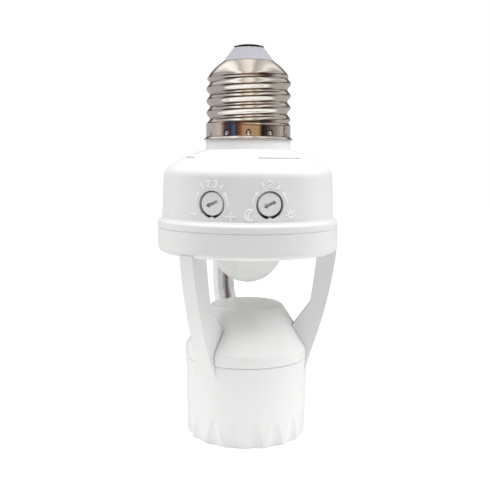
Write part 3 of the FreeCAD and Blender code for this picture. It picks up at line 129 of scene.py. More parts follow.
# Lens
LENS_RADIUS = 11.0
LENS_CENTRE = 59.3
LENS_WALL = 0.8
LENS_FLANGE_RADIUS = 12.8
LENS_FLANGE = 0.8
LENS_SEAT = 61.4
LENS_SEAM_DEPTH = 0.07
LENS_SEAM_WIDTH = 0.3
LENS_SEAM_BAND = 38.0
LENS_SEAMS_OUTER = 18
LENS_SEAMS_INNER = 12
LENS_SEGMENTS = 360
LENS_ROWS = 72
LENS_INNER_ROWS = 24


# Mesh helpers

def new_piece(name, points, faces, finish, smooth_angle=40.0):
    """A mesh in the row frame that rides on the holder."""
    mesh = bpy.data.meshes.new(name)
    mesh.from_pydata([Vector(point) * MM for point in points], [], faces)
    mesh.validate()
    piece = bpy.data.objects.new(name, mesh)
    bpy.context.scene.collection.objects.link(piece)
    mesh.polygons.foreach_set("use_smooth", [True] * len(mesh.polygons))
    mesh.set_sharp_from_angle(angle=math.radians(smooth_angle))
    mesh.materials.append(finish)
    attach(piece, HOLDER)
    return piece


def around(turn, radius, height):
    """A point at an angle round the axis."""
    angle = math.radians(turn)
    return (radius * math.sin(angle), -radius * math.cos(angle), height)


def ring_faces(first, second, segments):
    """Faces between two rings of points, from the rings' numbers."""
    faces = []
    for step in range(segments):
        beside = (step + 1) % segments
        faces.append((first * segments + step, first * segments + beside,
                      second * segments + beside, second * segments + step))
    return faces


def closed_lathe(rows, segments, radius_at):
    """A ring-shaped solid from a closed row of (radius, height).

    Its radius may change on the way round."""
    points = []
    for index, (radius, height) in enumerate(rows):
        for step in range(segments):
            turn = 360 * step / segments
            points.append(around(turn, radius_at(index, radius, height, turn), height))
    faces = []
    for index in range(len(rows)):
        faces += ring_faces(index, (index + 1) % len(rows), segments)
    return points, faces


def upright_rows(radius, start, end, steps):
    """Rows of (radius, height) up or down a straight wall, with both its ends."""
    return [(radius, start + (end - start) * step / steps) for step in range(steps + 1)]


def arc_rows(start, end, radius, steps):
    """Rows of (radius, height) between the ends of an arc that bulges away from the axis."""
    first, last = Vector(start), Vector(end)
    chord = last - first
    outward = Vector((chord.y, -chord.x)).normalized()
    reach = math.sqrt(radius ** 2 - (chord.length / 2) ** 2)
    centre = (first + last) / 2 - outward * reach
    low = math.atan2(first.y - centre.y, first.x - centre.x)
    high = math.atan2(last.y - centre.y, last.x - centre.x)
    angles = [low + (high - low) * step / steps for step in range(1, steps)]
    return [(centre.x + radius * math.cos(angle), centre.y + radius * math.sin(angle))
            for angle in angles]


def stepped(place, steps):
    """Rows of (radius, height) at small steps from a place."""
    return [(place[0] + outward, place[1] + upward) for outward, upward in steps]


# Screw cap

def smooth_step(share):
    """A share from 0 to 1 with a soft start and a soft end."""
    share = min(max(share, 0), 1)
    return share * share * (3 - 2 * share)


def thread_reach(height, turn):
    """The rolled wave's radius: it starts from the skirt and runs out to the shoulder's foot."""
    phase = (height - THREAD_CREST) / THREAD_PITCH - (turn - THREAD_TURN) / 360
    groove = THREAD_DEPTH * (1 - math.cos(2 * math.pi * phase)) / 2
    low = smooth_step((height - THREAD_BOTTOM) / THREAD_FADE)
    high = smooth_step((THREAD_TOP - height) / THREAD_FADE)
    reach = SKIRT_RADIUS + (THREAD_RADIUS - groove - SKIRT_RADIUS) * low
    return SHOULDER_FOOT[0] + (reach - SHOULDER_FOOT[0]) * high


def dent_depth(height, turn):
    """How deep the crimp marks of the skirt are at one place."""
    pitch = 360 / DENT_COUNT
    offset = (turn - DENT_TURN + pitch / 2) % pitch - pitch / 2
    across = math.radians(offset) * SKIRT_RADIUS
    distance = math.hypot(across, height - DENT_HEIGHT) / DENT_SIZE
    return DENT_DEPTH * math.exp(-distance ** 2)


def flare_rows():
    """Rows from the lip's edge up to the skirt."""
    edge_radius = LIP_RADIUS + FLARE_EDGE[0]
    edge_height = NECK_TOP + FLARE_EDGE[1]
    rows = []
    for step in range(FLARE_ROWS):
        share = step / FLARE_ROWS
        radius = SKIRT_RADIUS + (edge_radius - SKIRT_RADIUS) * (1 - share) ** 2
        rows.append((radius, edge_height + (LIP_TOP - edge_height) * share))
    return rows


def outer_shell_rows():
    """The sheet's outside, from the lip up to the shoulder's mouth."""
    dent_top = DENT_HEIGHT + DENT_MARGIN
    rows = stepped((LIP_RADIUS, NECK_TOP), LIP_EDGE) + flare_rows()
    rows += upright_rows(SKIRT_RADIUS, LIP_TOP, dent_top, DENT_ROWS)
    rows.append((SKIRT_RADIUS, (dent_top + THREAD_BOTTOM) / 2))
    rows += upright_rows(THREAD_RADIUS, THREAD_BOTTOM, THREAD_TOP, THREAD_ROWS)
    rows += arc_rows(SHOULDER_FOOT, SHOULDER_HEAD, SHOULDER_BULGE, SHOULDER_ROWS)
    return rows + stepped(SHOULDER_HEAD, MOUTH_EDGE[:2])


def inner_shell_rows():
    """The sheet's inside, from the shoulder's mouth down to the lip."""
    inside = SKIRT_RADIUS - SHEET
    shoulder = arc_rows(SHOULDER_FOOT, SHOULDER_HEAD, SHOULDER_BULGE, INNER_SHOULDER_ROWS)
    rows = stepped(SHOULDER_HEAD, MOUTH_EDGE[2:])
    rows += [(radius - SHEET, height - SHOULDER_SHEET_DROP) for radius, height in reversed(shoulder)]
    rows += upright_rows(THREAD_RADIUS - SHEET, THREAD_TOP, THREAD_BOTTOM, INNER_THREAD_ROWS)
    return rows + [(inside, THREAD_BOTTOM - SKIRT_INSIDE_DROP), (inside, LIP_TOP), (inside, NECK_TOP)]


def build_screw_shell(finish):
    """The rolled sheet with its flared lip, crimp marks, thread and round shoulder."""
    outer = outer_shell_rows()

    def radius_at(index, radius, height, turn):
        inside = index >= len(outer)
        if THREAD_BOTTOM <= height <= THREAD_TOP:
            return thread_reach(height, turn) - (SHEET if inside else 0)
        return radius if inside or height > THREAD_TOP else radius - dent_depth(height, turn)

    points, faces = closed_lathe(outer + inner_shell_rows(), SHELL_SEGMENTS, radius_at)
    piece = new_piece("nickel_shell", points, faces, finish)
    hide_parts("screw_shell")


# Knob marks, drawn as lines on the dome wall's flattened surface round the knob's middle

def wall_point(turn, across, up, rise):
    """A point on the dome wall, from a place on its flattened surface beside a knob."""
    height = KNOB_HEIGHT + up
    share = (height - WALL_FOOT[1]) / (WALL_TOP[1] - WALL_FOOT[1])
    radius = WALL_FOOT[0] + (WALL_TOP[0] - WALL_FOOT[0]) * share
    return around(turn + math.degrees(across / radius), radius + rise, height)


def arc_line(centre, radius, start, end, steps=12):
    """Points along an arc of a mark, with angles from the right, anticlockwise."""
    angles = [math.radians(start + (end - start) * step / steps) for step in range(steps + 1)]
    return [(centre[0] + radius * math.cos(angle), centre[1] + radius * math.sin(angle))
            for angle in angles]


DIGITS = {
    "1": [[(-0.28, 0.55), (0.08, 0.9), (0.08, -0.9)]],
    "2": [arc_line((0, 0.42), 0.48, 170, -25, 8) + [(-0.48, -0.9), (0.52, -0.9)]],
    "3": [arc_line((0, 0.42), 0.46, 150, -80, 8), arc_line((0, -0.42), 0.5, 80, -150, 8)],
    "4": [[(0.2, -0.9), (0.2, 0.9), (-0.5, -0.35), (0.52, -0.35)]],
}


def placed(line, place, lean):
    """A mark's line turned and moved on the flattened wall."""
    cosine, sine = math.cos(math.radians(lean)), math.sin(math.radians(lean))
    return [(place[0] + x * cosine - y * sine, place[1] + x * sine + y * cosine) for x, y in line]


def digit_lines(text, spread):
    """Numerals on an arc above a knob."""
    lines = []
    for index, digit in enumerate(text):
        lean = spread * ((len(text) - 1) / 2 - index)
        angle = math.radians(lean)
        place = (-DIGIT_RADIUS * math.sin(angle), DIGIT_RADIUS * math.cos(angle))
        lines += [placed(line, place, lean) for line in DIGITS[digit]]
    return lines


def arrow_lines(start, end):
    """A turning arrow beside a knob: an arc with a two-barbed head at its end."""
    shaft = arc_line((0, 0), ARROW_RADIUS, start, end)
    tip, before = Vector(shaft[-1]), Vector(shaft[-2])
    back = (before - tip).normalized() * ARROW_BARB
    barbs = [tip + Matrix.Rotation(math.radians(side), 2) @ back for side in (BARB_ANGLE, -BARB_ANGLE)]
    return [shaft, [tuple(barbs[0]), tuple(tip), tuple(barbs[1])]]


def time_marks():
    """Minus and plus, the numerals and the two arrows."""
    minus = [[(-7.0, -3.1), (-4.9, -3.1)]]
    plus = [[(4.4, -3.45), (7.3, -3.45)], [(5.85, -4.9), (5.85, -2.0)]]
    arrows = arrow_lines(186, 142) + arrow_lines(-6, 38)
    return minus + plus + digit_lines("1234", 21) + arrows


def lux_marks():
    """Moon and sun, the numerals and the two arrows."""
    moon = [arc_line((-5.75, -3.0), 1.55, 60, 300, 16), arc_line((-4.75, -3.35), 1.65, 96, 218, 10)]
    sun_place = (6.2, -3.0)
    sun = [arc_line(sun_place, 0.72, 0, 360, 16)]
    for ray in range(8):
        angle = math.radians(45 * ray)
        direction = Vector((math.cos(angle), math.sin(angle)))
        sun.append([tuple(Vector(sun_place) + direction * reach) for reach in (1.15, 1.7)])
    arrows = arrow_lines(176, 138) + arrow_lines(2, 40)
    return moon + sun + digit_lines("123", 23) + arrows


def stroke_mesh(line, turn, points, faces):
    """A low ridge along a line, with sloping sides and closed ends."""
    spots = [Vector(spot) for spot in line]
    first = len(points)
    closed = (spots[0] - spots[-1]).length < SAME_PLACE
    half = MARK_WIDTH / 2
    top = half - MARK_SLOPE
    profile = ((-half, -MARK_ROOT), (-top, MARK_RISE), (top, MARK_RISE), (half, -MARK_ROOT))
    for index, spot in enumerate(spots):
        before = spots[index - 1] if index else spots[-2] if closed else spot
        after = spots[index + 1] if index + 1 < len(spots) else spots[1] if closed else spot
        along = (after - before).normalized()
        aside = Vector((-along.y, along.x))
        arrive = (spot - before).normalized() if (spot - before).length else along
        mitre = aside.dot(Vector((-arrive.y, arrive.x)))
        aside *= min(1 / max(mitre, MITRE_LEAST), MITRE_MOST)
        for side, rise in profile:
            points.append(wall_point(turn, spot.x + aside.x * side, spot.y + aside.y * side, rise))
    corners = len(profile)
    for index in range(len(spots) - 1):
        low, high = first + corners * index, first + corners * (index + 1)
        for corner in range(corners):
            following = (corner + 1) % corners
            faces.append((low + corner, high + corner, high + following, low + following))
    last = first + corners * (len(spots) - 1)
    if not closed:
        faces.append((first, first + 1, first + 2, first + 3))
        faces.append((last + 3, last + 2, last + 1, last))


def build_marks(name, turn, lines, finish):
    """The raised marks round one knob."""
    points, faces = [], []
    for line in lines:
        stroke_mesh(line, turn, points, faces)
    new_piece(name, points, faces, finish, smooth_angle=30)


# Lens

def lens_seam(turn, elevation):
    """The shallow grooves between the lens's segments."""
    count = LENS_SEAMS_OUTER if elevation < LENS_SEAM_BAND else LENS_SEAMS_INNER
    pitch = 360 / count
    offset = (turn + pitch / 2) % pitch - pitch / 2
    across = math.radians(abs(offset)) * LENS_RADIUS * math.cos(math.radians(elevation))
    level = math.radians(abs(elevation - LENS_SEAM_BAND)) * LENS_RADIUS
    nearest = min(across, level) / LENS_SEAM_WIDTH
    return LENS_SEAM_DEPTH * max(1 - nearest, 0)


def build_lens(finish):
    """The half-dome with its segments, a short barrel and the flange."""
    turns = [360 * step / LENS_SEGMENTS for step in range(LENS_SEGMENTS)]
    elevations = [90 * (1 - step / LENS_ROWS) for step in range(1, LENS_ROWS + 1)]
    points = []
    for elevation in elevations:
        sine, cosine = math.sin(math.radians(elevation)), math.cos(math.radians(elevation))
        for turn in turns:
            reach = LENS_RADIUS - lens_seam(turn, elevation)
            points.append(around(turn, reach * cosine, LENS_CENTRE - reach * sine))
    inner_radius = LENS_RADIUS - LENS_WALL
    flange_top = LENS_SEAT + LENS_FLANGE
    barrel = [(LENS_RADIUS, LENS_SEAT), (LENS_FLANGE_RADIUS, LENS_SEAT), (LENS_FLANGE_RADIUS, flange_top),
              (inner_radius, flange_top), (inner_radius, LENS_CENTRE)]
    for step in range(1, LENS_INNER_ROWS):
        angle = math.radians(90 * step / LENS_INNER_ROWS)
        barrel.append((inner_radius * math.cos(angle), LENS_CENTRE - inner_radius * math.sin(angle)))
    points += [around(turn, radius, height) for radius, height in barrel for turn in turns]
    last_row = len(elevations) + len(barrel) - 1
    faces = []
    for row in range(last_row):
        faces += ring_faces(row + 1, row, LENS_SEGMENTS)
    pole = len(points)
    points += [(0, 0, LENS_CENTRE - LENS_RADIUS), (0, 0, LENS_CENTRE - inner_radius)]
    last = last_row * LENS_SEGMENTS
    for step in range(LENS_SEGMENTS):
        beside = (step + 1) % LENS_SEGMENTS
        faces.append((pole, step, beside))
        faces.append((pole + 1, last + beside, last + step))
    piece = new_piece("segmented_lens", points, faces, finish)
    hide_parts("lens")


# Contact leaf

def build_leaf(finish):
    """The spring at the lamp's foot, its root on the rivet: a copy of the CAD leaf with its finish, in
    its place.
    """
    bpy.context.view_layer.update()
    solid = frame["nodes"]["bulb_contact_leaf"]
    piece = bpy.data.objects.new("spring_leaf", solid.data.copy())
    piece.matrix_world = solid.matrix_world.copy()
    bpy.context.scene.collection.objects.link(piece)
    piece.data.materials.clear()
    piece.data.materials.append(finish)
    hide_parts("bulb_contact_leaf")
    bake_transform(piece)


# Node helpers

def add_node(tree, kind, inputs=None, **settings):
    """A node with its settings, and its sockets set or linked."""
    item = tree.nodes.new(kind)
    for name, value in settings.items():
        setattr(item, name, value)
    for name, value in (inputs or {}).items():
        if isinstance(value, bpy.types.NodeSocket):
            tree.links.new(value, item.inputs[name])
        else:
            item.inputs[name].default_value = value
    return item


def sums(tree, operation, first, second=0.0):
    """The result of one operation on two numbers."""
    return add_node(tree, "ShaderNodeMath", {0: first, 1: second}, operation=operation).outputs[0]


def share_of(tree, value, low, high, kind="LINEAR"):
    """How far a value is on its way from low to high, from 0 to 1."""
    return add_node(tree, "ShaderNodeMapRange", {"Value": value, "From Min": low, "From Max": high},
                    interpolation_type=kind).outputs[0]


def blend_colours(tree, factor, first, second):
    """A colour between two, which sit in the mix node's colour sockets, 6 and 7."""
    mix = add_node(tree, "ShaderNodeMix", {0: factor, 6: first, 7: second}, data_type="RGBA")
    return mix.outputs[2]


def ramp(tree, factor, stops):
    """A colour ramp with the given (place, colour) stops. A plain number is a grey."""
    item = add_node(tree, "ShaderNodeValToRGB", {"Fac": factor})
    elements = item.color_ramp.elements
    while len(elements) < len(stops):
        elements.new(0.5)
    for element, (place, colour) in zip(elements, stops):
        channels = colour if isinstance(colour, tuple) else (colour, colour, colour)
        element.position = place
        element.color = (*channels, 1)
    return item.outputs["Color"]


def noise(tree, place, size, detail=3.0):
    """Noise whose features are about a size in millimetres."""
    return add_node(tree, "ShaderNodeTexNoise", {"Vector": place, "Scale": 1 / (size * MM),
                                                 "Detail": detail}).outputs["Fac"]


# Materials

SOFT_EDGE = 0.3
EDGE_SAMPLES = 6
HOLLOW_SHADE_SAMPLES = 8
GLOSS_SPREAD = 0.15
GRAIN_DETAIL = 4.0


def mottle(tree, place, colour, spread, size):
    """A colour that drifts a little over the surface."""
    low = [channel * (1 - spread) for channel in colour] + [1]
    high = [min(channel * (1 + spread), 1) for channel in colour] + [1]
    return blend_colours(tree, noise(tree, place, size), low, high)


def finish_of(name, colour, spread, drift, roughness, grain, relief, edge=0.0, **settings):
    """A surface with drifting colour, uneven gloss, a fine relief and soft edges.

    Drift, grain, relief and edge are in millimetres."""
    material = bpy.data.materials.new(name)
    material.use_nodes = True
    tree = material.node_tree
    shader = tree.nodes["Principled BSDF"]
    place = add_node(tree, "ShaderNodeTexCoord").outputs["Object"]
    tree.links.new(mottle(tree, place, colour, spread, drift), shader.inputs["Base Color"])
    gloss = add_node(tree, "ShaderNodeMapRange", {
        "Value": noise(tree, place, drift / 2), "To Min": roughness * (1 - GLOSS_SPREAD),
        "To Max": roughness * (1 + GLOSS_SPREAD)})
    tree.links.new(gloss.outputs["Result"], shader.inputs["Roughness"])
    bump = add_node(tree, "ShaderNodeBump", {
        "Height": noise(tree, place, grain, GRAIN_DETAIL), "Distance": relief * MM, "Strength": 1.0})
    if edge:
        soft_edges = add_node(tree, "ShaderNodeBevel", {"Radius": edge * MM}, samples=EDGE_SAMPLES)
        tree.links.new(soft_edges.outputs["Normal"], bump.inputs["Normal"])
    tree.links.new(bump.outputs["Normal"], shader.inputs["Normal"])
    for socket, value in settings.items():
        shader.inputs[socket.replace("_", " ")].default_value = value
    return material


def plastic(name, colour, roughness, **settings):
    """Moulded plastic."""
    return finish_of(name, colour, spread=0.012, drift=9.0, roughness=roughness, grain=0.35,
                     relief=0.004, **settings)


def metal(name, colour, roughness, grain=0.6, relief=0.004):
    """Plated or bare metal."""
    return finish_of(name, colour, spread=0.03, drift=4.0, roughness=roughness, grain=grain,
                     relief=relief, Metallic=1.0)


def paint_hollow_shade(material, reach):
    """Paint shade into a finish's colour in narrow hollows, darker the more a place is enclosed."""
    tree = material.node_tree
    colour = tree.nodes["Principled BSDF"].inputs["Base Color"]
    hollow_shade = add_node(tree, "ShaderNodeAmbientOcclusion", {
        "Color": colour.links[0].from_socket, "Distance": reach * MM}, samples=HOLLOW_SHADE_SAMPLES)
    tree.links.new(hollow_shade.outputs["Color"], colour)
    return material


def build_finishes():
    """One material for each slot of the record, and one for the marks, which glow a little as painted
    light.
    """
    return {
        "white_plastic": plastic("white_plastic", (0.85, 0.85, 0.845), 0.34, edge=SOFT_EDGE,
                                 Subsurface_Weight=0.05, Subsurface_Scale=0.002),
        # painted light: the marks' white glows a little, so they read brighter than the dome wall
        "glowing_mark_white": plastic("glowing_mark_white", (0.95, 0.95, 0.945), 0.34, Emission_Color=(1, 1, 1, 1),
                              Emission_Strength=0.07),
        "cap_plastic": plastic("cap_plastic", (0.85, 0.85, 0.845), 0.22, edge=SOFT_EDGE),
        "plate_plastic": plastic("plate_plastic", (0.84, 0.84, 0.83), 0.45),
        "nose_plastic": plastic("nose_plastic", (0.43, 0.426, 0.478), 0.45),
        "nickel": metal("nickel", (0.76, 0.73, 0.7), 0.08, grain=1.2, relief=0.003),
        "contact_metal": metal("contact_metal", (0.07, 0.068, 0.065), 0.22),
        "lens_plastic": plastic("lens_plastic", (0.84, 0.845, 0.825), 0.34, Subsurface_Weight=0.15,
                                Subsurface_Scale=0.001),
        # painted shade: the knobs' colour darkens in their slots and in the gaps round them
        "knob_plastic": paint_hollow_shade(plastic("knob_plastic", (0.86, 0.865, 0.865), 0.35), reach=0.42),
        "trimmer_plastic": plastic("trimmer_plastic", (0.5, 0.4, 0.4), 0.4),
        "board_green": finish_of("board_green", (0.03, 0.2, 0.07), spread=0.25, drift=2.5,
                                 roughness=0.3, grain=0.5, relief=0.02),
        "screw_steel": metal("screw_steel", (0.6, 0.6, 0.62), 0.3, grain=0.3),
        "can_metal": metal("can_metal", (0.66, 0.65, 0.62), 0.25, grain=0.3),
        "window_dark": plastic("window_dark", (0.05, 0.02, 0.03), 0.12),
        "clear_resin": plastic("clear_resin", (0.7, 0.75, 0.78), 0.1, Transmission_Weight=0.7),
        "relay_blue": plastic("relay_blue", (0.03, 0.13, 0.5), 0.35),
        "capacitor_yellow": plastic("capacitor_yellow", (0.75, 0.45, 0.04), 0.35),
        "capacitor_black": plastic("capacitor_black", (0.02, 0.02, 0.03), 0.3),
        "chip_black": plastic("chip_black", (0.03, 0.03, 0.03), 0.55),
        "diode_black": plastic("diode_black", (0.03, 0.03, 0.03), 0.5),
        "resistor_blue": plastic("resistor_blue", (0.2, 0.42, 0.6), 0.3),
        "core_plastic": plastic("core_plastic", (0.8, 0.8, 0.77), 0.55),
        "socket_brass": metal("socket_brass", (0.72, 0.64, 0.42), 0.18),
        "leaf_brass": metal("leaf_brass", (0.76, 0.58, 0.26), 0.2),
        # painted light: the wire is coloured pale pink-grey rather than brown, to lift the shade of the
        # leg's channel it lies in
        "wire_brown": plastic("wire_brown", (0.85, 0.76, 0.8), 0.45),
        "wire_black": plastic("wire_black", (0.02, 0.02, 0.02), 0.45)}


def dress_nodes(finishes):
    """Give every carried-over node the finish of its slot."""
    for part in frame["record"]["subparts"]:
        node = frame["nodes"][part["node"]]
        node.data.materials.clear()
        node.data.materials.append(finishes[part["material_slot"]])


# Camera

def build_camera():
    """The camera on its side of the object."""
    data = bpy.data.cameras.new("camera")
    data.lens = CAMERA_LENS
    data.sensor_fit = "HORIZONTAL"
    data.sensor_width = CAMERA_SENSOR
    camera = bpy.data.objects.new("camera", data)
    place = Vector((CAMERA_ASIDE, -CAMERA_DISTANCE, CAMERA_HEIGHT)) * MM
    camera.matrix_world = (Matrix.Rotation(math.radians(CAMERA_TURN), 4, "Z") @ Matrix.Translation(place)
                           @ Matrix.Rotation(math.pi / 2 - CAMERA_PITCH, 4, "X")
                           @ Matrix.Rotation(CAMERA_ROLL, 4, "Z"))
    bpy.context.scene.collection.objects.link(camera)
    bpy.context.scene.camera = camera


# Floor: the colour of the light it throws back is painted pale near the object and dim far off, a painted
# pool of light from a near distance to a far one, each with its share
FLOOR_REACH = 3000.0
FLOOR_NEAR = (80.0, 0.95)
FLOOR_FAR = (280.0, 0.2)
FLOOR_GLOW = 0.86
FLOOR_SHADE = 0.2

# The floor that glossy surfaces see: colours by that share in front, and one at the sides and back
MIRRORED_FLOOR = ((0.2, (0.05, 0.035, 0.03)), (0.7, (0.1, 0.07, 0.055)), (0.84, (0.5, 0.42, 0.36)),
                  (0.9, (0.9, 0.85, 0.8)))
MIRRORED_SIDES = (0.5, 0.47, 0.44, 1)
MIRRORED_FRONT = (-0.1, 0.5)


def mix_shaders(tree, factor, first, second):
    """A shader between two others."""
    mix = add_node(tree, "ShaderNodeMixShader", {"Fac": factor})
    tree.links.new(first.outputs[0], mix.inputs[1])
    tree.links.new(second.outputs[0], mix.inputs[2])
    return mix


def build_floor():
    """A pale floor that shows white, keeps a soft shadow, throws back a painted pool of light near the
    object, and is clear from underneath.
    """
    reach = FLOOR_REACH * MM
    corners = [(-reach, -reach, 0), (reach, -reach, 0), (reach, reach, 0), (-reach, reach, 0)]
    mesh = bpy.data.meshes.new("floor")
    mesh.from_pydata(corners, [], [(0, 1, 2, 3)])
    floor = bpy.data.objects.new("floor", mesh)
    bpy.context.scene.collection.objects.link(floor)
    material = bpy.data.materials.new("floor")
    material.use_nodes = True
    tree = material.node_tree
    tree.nodes.remove(tree.nodes["Principled BSDF"])
    place = add_node(tree, "ShaderNodeTexCoord").outputs["Object"]
    distance = add_node(tree, "ShaderNodeVectorMath", {0: place}, operation="LENGTH").outputs["Value"]
    # painted pool of light: the floor's bounce colour is paler near the object than far off
    painted_pool = add_node(tree, "ShaderNodeMapRange", {
        "Value": distance, "From Min": FLOOR_NEAR[0] * MM, "From Max": FLOOR_FAR[0] * MM,
        "To Min": FLOOR_NEAR[1], "To Max": FLOOR_FAR[1]}, interpolation_type="SMOOTHSTEP").outputs[0]
    bounce = add_node(tree, "ShaderNodeBsdfDiffuse", {"Color": painted_pool})
    forward = add_node(tree, "ShaderNodeVectorMath", {0: place, 1: around(CAMERA_TURN, 1, 0)},
                       operation="DOT_PRODUCT").outputs["Value"]
    front = share_of(tree, sums(tree, "DIVIDE", forward, distance), *MIRRORED_FRONT, "SMOOTHSTEP")
    reflection = blend_colours(tree, front, MIRRORED_SIDES, ramp(tree, painted_pool, MIRRORED_FLOOR))
    mirrored = add_node(tree, "ShaderNodeEmission", {"Color": reflection, "Strength": 1.0})
    shade = add_node(tree, "ShaderNodeBsdfDiffuse", {"Color": [FLOOR_SHADE] * 3 + [1]})
    glow = add_node(tree, "ShaderNodeEmission", {"Color": (1, 1, 1, 1), "Strength": FLOOR_GLOW})
    seen = add_node(tree, "ShaderNodeAddShader", {0: shade.outputs[0], 1: glow.outputs[0]})
    path = add_node(tree, "ShaderNodeLightPath")
    unseen = mix_shaders(tree, path.outputs["Is Glossy Ray"], bounce, mirrored)
    surface = mix_shaders(tree, path.outputs["Is Camera Ray"], unseen, seen)
    underside = add_node(tree, "ShaderNodeNewGeometry").outputs["Backfacing"]
    one_sided = mix_shaders(tree, underside, surface, add_node(tree, "ShaderNodeBsdfTransparent"))
    tree.links.new(one_sided.outputs[0], tree.nodes["Material Output"].inputs["Surface"])
    mesh.materials.append(material)


# Studio walls that light matt surfaces, by their angle from the camera's side as a share of a half turn
SOFT_WALLS = ((0.0, 0.05), (0.22, 0.08), (0.45, 0.82), (0.66, 0.9), (0.8, 0.55), (1.0, 0.4))
SOFT_CEILING = (1.0, 1.0, 1.0, 1)
SOFT_RISE = (0.5, 0.88)

# Studio walls that glossy surfaces see, once round from behind by the left: a dim room in front
GLOSSY_WALLS = (
    (0.0, (0.5, 0.48, 0.46)), (0.19, (0.5, 0.48, 0.45)), (0.27, (0.66, 0.58, 0.5)),
    (0.31, (0.1, 0.08, 0.08)), (0.36, (0.03, 0.04, 0.09)), (0.395, (0.1, 0.14, 0.22)),
    (0.41, (0.05, 0.03, 0.03)), (0.44, (0.3, 0.1, 0.06)), (0.465, (0.5, 0.33, 0.17)),
    (0.575, (0.5, 0.34, 0.18)), (0.6, (0.012, 0.01, 0.01)), (0.64, (0.05, 0.04, 0.04)),
    (0.72, (0.3, 0.25, 0.22)), (0.79, (0.6, 0.55, 0.5)), (0.815, (0.13, 0.1, 0.08)),
    (0.84, (0.42, 0.4, 0.38)), (1.0, (0.5, 0.48, 0.46)))

# A dark band between the walls and the ceiling that glossy surfaces see, by the direction's rise
GLOSSY_CORNICE = ((0.13, 0.0), (0.2, 0.9), (0.36, 0.9), (0.45, 0.0))
CORNICE_COLOUR = (0.1, 0.045, 0.035, 1)

# What glossy surfaces see overhead, from left to right: two strip lights and a warmer one between them
GLOSSY_CEILING = (
    (0.0, (0.4, 0.39, 0.37)), (0.2, (0.52, 0.5, 0.47)), (0.28, (1.3, 1.28, 1.24)),
    (0.33, (1.2, 1.17, 1.12)), (0.38, (0.66, 0.6, 0.52)), (0.46, (1.0, 0.95, 0.87)),
    (0.53, (1.1, 1.06, 0.98)), (0.59, (0.56, 0.5, 0.43)), (0.65, (0.75, 0.7, 0.64)),
    (0.71, (1.1, 1.07, 1.02)), (0.78, (0.42, 0.4, 0.37)), (0.85, (0.6, 0.57, 0.54)),
    (1.0, (0.42, 0.4, 0.37)))
GLOSSY_RISE = (0.4, 0.66)


def build_world():
    """A soft room that is dim in front of the object, and another that glossy surfaces see.

    The camera sees white."""
    world = bpy.data.worlds.new("studio")
    bpy.context.scene.world = world
    world.use_nodes = True
    tree = world.node_tree
    tree.nodes.clear()
    direction = add_node(tree, "ShaderNodeTexCoord").outputs["Generated"]
    turned = add_node(tree, "ShaderNodeVectorRotate", {
        "Vector": direction, "Angle": -math.radians(CAMERA_TURN)}, rotation_type="Z_AXIS")
    parts = add_node(tree, "ShaderNodeSeparateXYZ", {"Vector": turned.outputs["Vector"]}).outputs
    facing = sums(tree, "MULTIPLY", parts["Y"], -1.0)
    half_turns = sums(tree, "DIVIDE", sums(tree, "ARCTAN2", parts["X"], facing), math.pi)
    away = sums(tree, "ABSOLUTE", half_turns)
    across = share_of(tree, half_turns, -1.0, 1.0)
    aside = share_of(tree, parts["X"], -1.0, 1.0)
    soft_up = share_of(tree, parts["Z"], *SOFT_RISE, "SMOOTHSTEP")
    glossy_up = share_of(tree, parts["Z"], *GLOSSY_RISE, "SMOOTHSTEP")
    soft = blend_colours(tree, soft_up, ramp(tree, away, SOFT_WALLS), SOFT_CEILING)
    cornice = ramp(tree, parts["Z"], GLOSSY_CORNICE)
    walls = blend_colours(tree, cornice, ramp(tree, across, GLOSSY_WALLS), CORNICE_COLOUR)
    glossy = blend_colours(tree, glossy_up, walls, ramp(tree, aside, GLOSSY_CEILING))
    path = add_node(tree, "ShaderNodeLightPath").outputs
    lit = blend_colours(tree, path["Is Glossy Ray"], soft, glossy)
    shown = blend_colours(tree, path["Is Camera Ray"], lit, (1, 1, 1, 1))
    background = add_node(tree, "ShaderNodeBackground", {"Color": shown, "Strength": 1.0})
    add_node(tree, "ShaderNodeOutputWorld", {"Surface": background.outputs[0]})


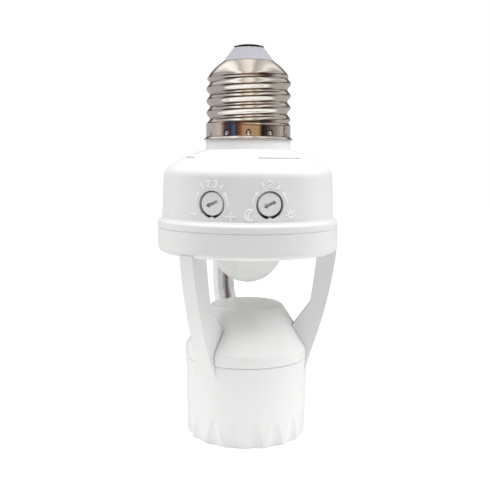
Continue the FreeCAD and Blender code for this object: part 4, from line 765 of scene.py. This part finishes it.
# Softboxes: name, angle from the camera's side, distance, height, the panel's width and height, and watts
SOFTBOXES = (
    ("left_box", -105, 700, 250, 300, 600, 1.2),
    ("right_box", 105, 700, 250, 300, 600, 1.2),
    ("high_left_box", -54, 420, 600, 160, 180, 0.66),
    ("high_right_box", 64, 420, 600, 160, 180, 1.12),
    ("top_box", 0, 140, 800, 600, 520, 2.8))
AIM_HEIGHT = 70.0

# Spotlight on the neck
NECK_LAMP_TURN = 9.0
NECK_LAMP_DISTANCE = 380.0
NECK_LAMP_HEIGHT = 330.0
NECK_LAMP_SPREAD = 4.6
NECK_LAMP_SIZE = 12
NECK_LAMP_POWER = 3.9


def place_lamp(data, turn, distance, height, aim_height):
    """Set a lamp up round the object, aimed at a height on its axis and unseen by glossy surfaces."""
    lamp = bpy.data.objects.new(data.name, data)
    lamp.visible_glossy = False
    place = Vector(around(turn + CAMERA_TURN, distance, height)) * MM
    aim = Vector((0, 0, aim_height * MM)) - place
    lamp.matrix_world = Matrix.Translation(place) @ aim.to_track_quat("-Z", "Y").to_matrix().to_4x4()
    bpy.context.scene.collection.objects.link(lamp)


def build_softboxes():
    """The panels of light at the sides of the object and over it."""
    for name, turn, distance, height, width, tall, power in SOFTBOXES:
        data = bpy.data.lights.new(name, "AREA")
        data.shape = "RECTANGLE"
        data.size = width * MM
        data.size_y = tall * MM
        data.energy = power
        place_lamp(data, turn, distance, height, AIM_HEIGHT)


def build_neck_lamp():
    """A narrow soft-edged spotlight on the neck, which the cap's lip keeps from the light above."""
    data = bpy.data.lights.new("neck_lamp", "SPOT")
    data.energy = NECK_LAMP_POWER
    data.spot_size = math.radians(NECK_LAMP_SPREAD)
    data.spot_blend = 1.0
    data.shadow_soft_size = NECK_LAMP_SIZE * MM
    place_lamp(data, NECK_LAMP_TURN, NECK_LAMP_DISTANCE, NECK_LAMP_HEIGHT, NECK_TOP)


finishes = build_finishes()
dress_nodes(finishes)
build_screw_shell(finishes["nickel"])
build_marks("time_marks", TIME_TURN, time_marks(), finishes["glowing_mark_white"])
build_marks("lux_marks", LUX_TURN, lux_marks(), finishes["glowing_mark_white"])
build_lens(finishes["lens_plastic"])
build_leaf(finishes["leaf_brass"])
build_camera()
build_floor()
build_world()
build_softboxes()
build_neck_lamp()
bpy.context.scene.view_settings.view_transform = "Standard"
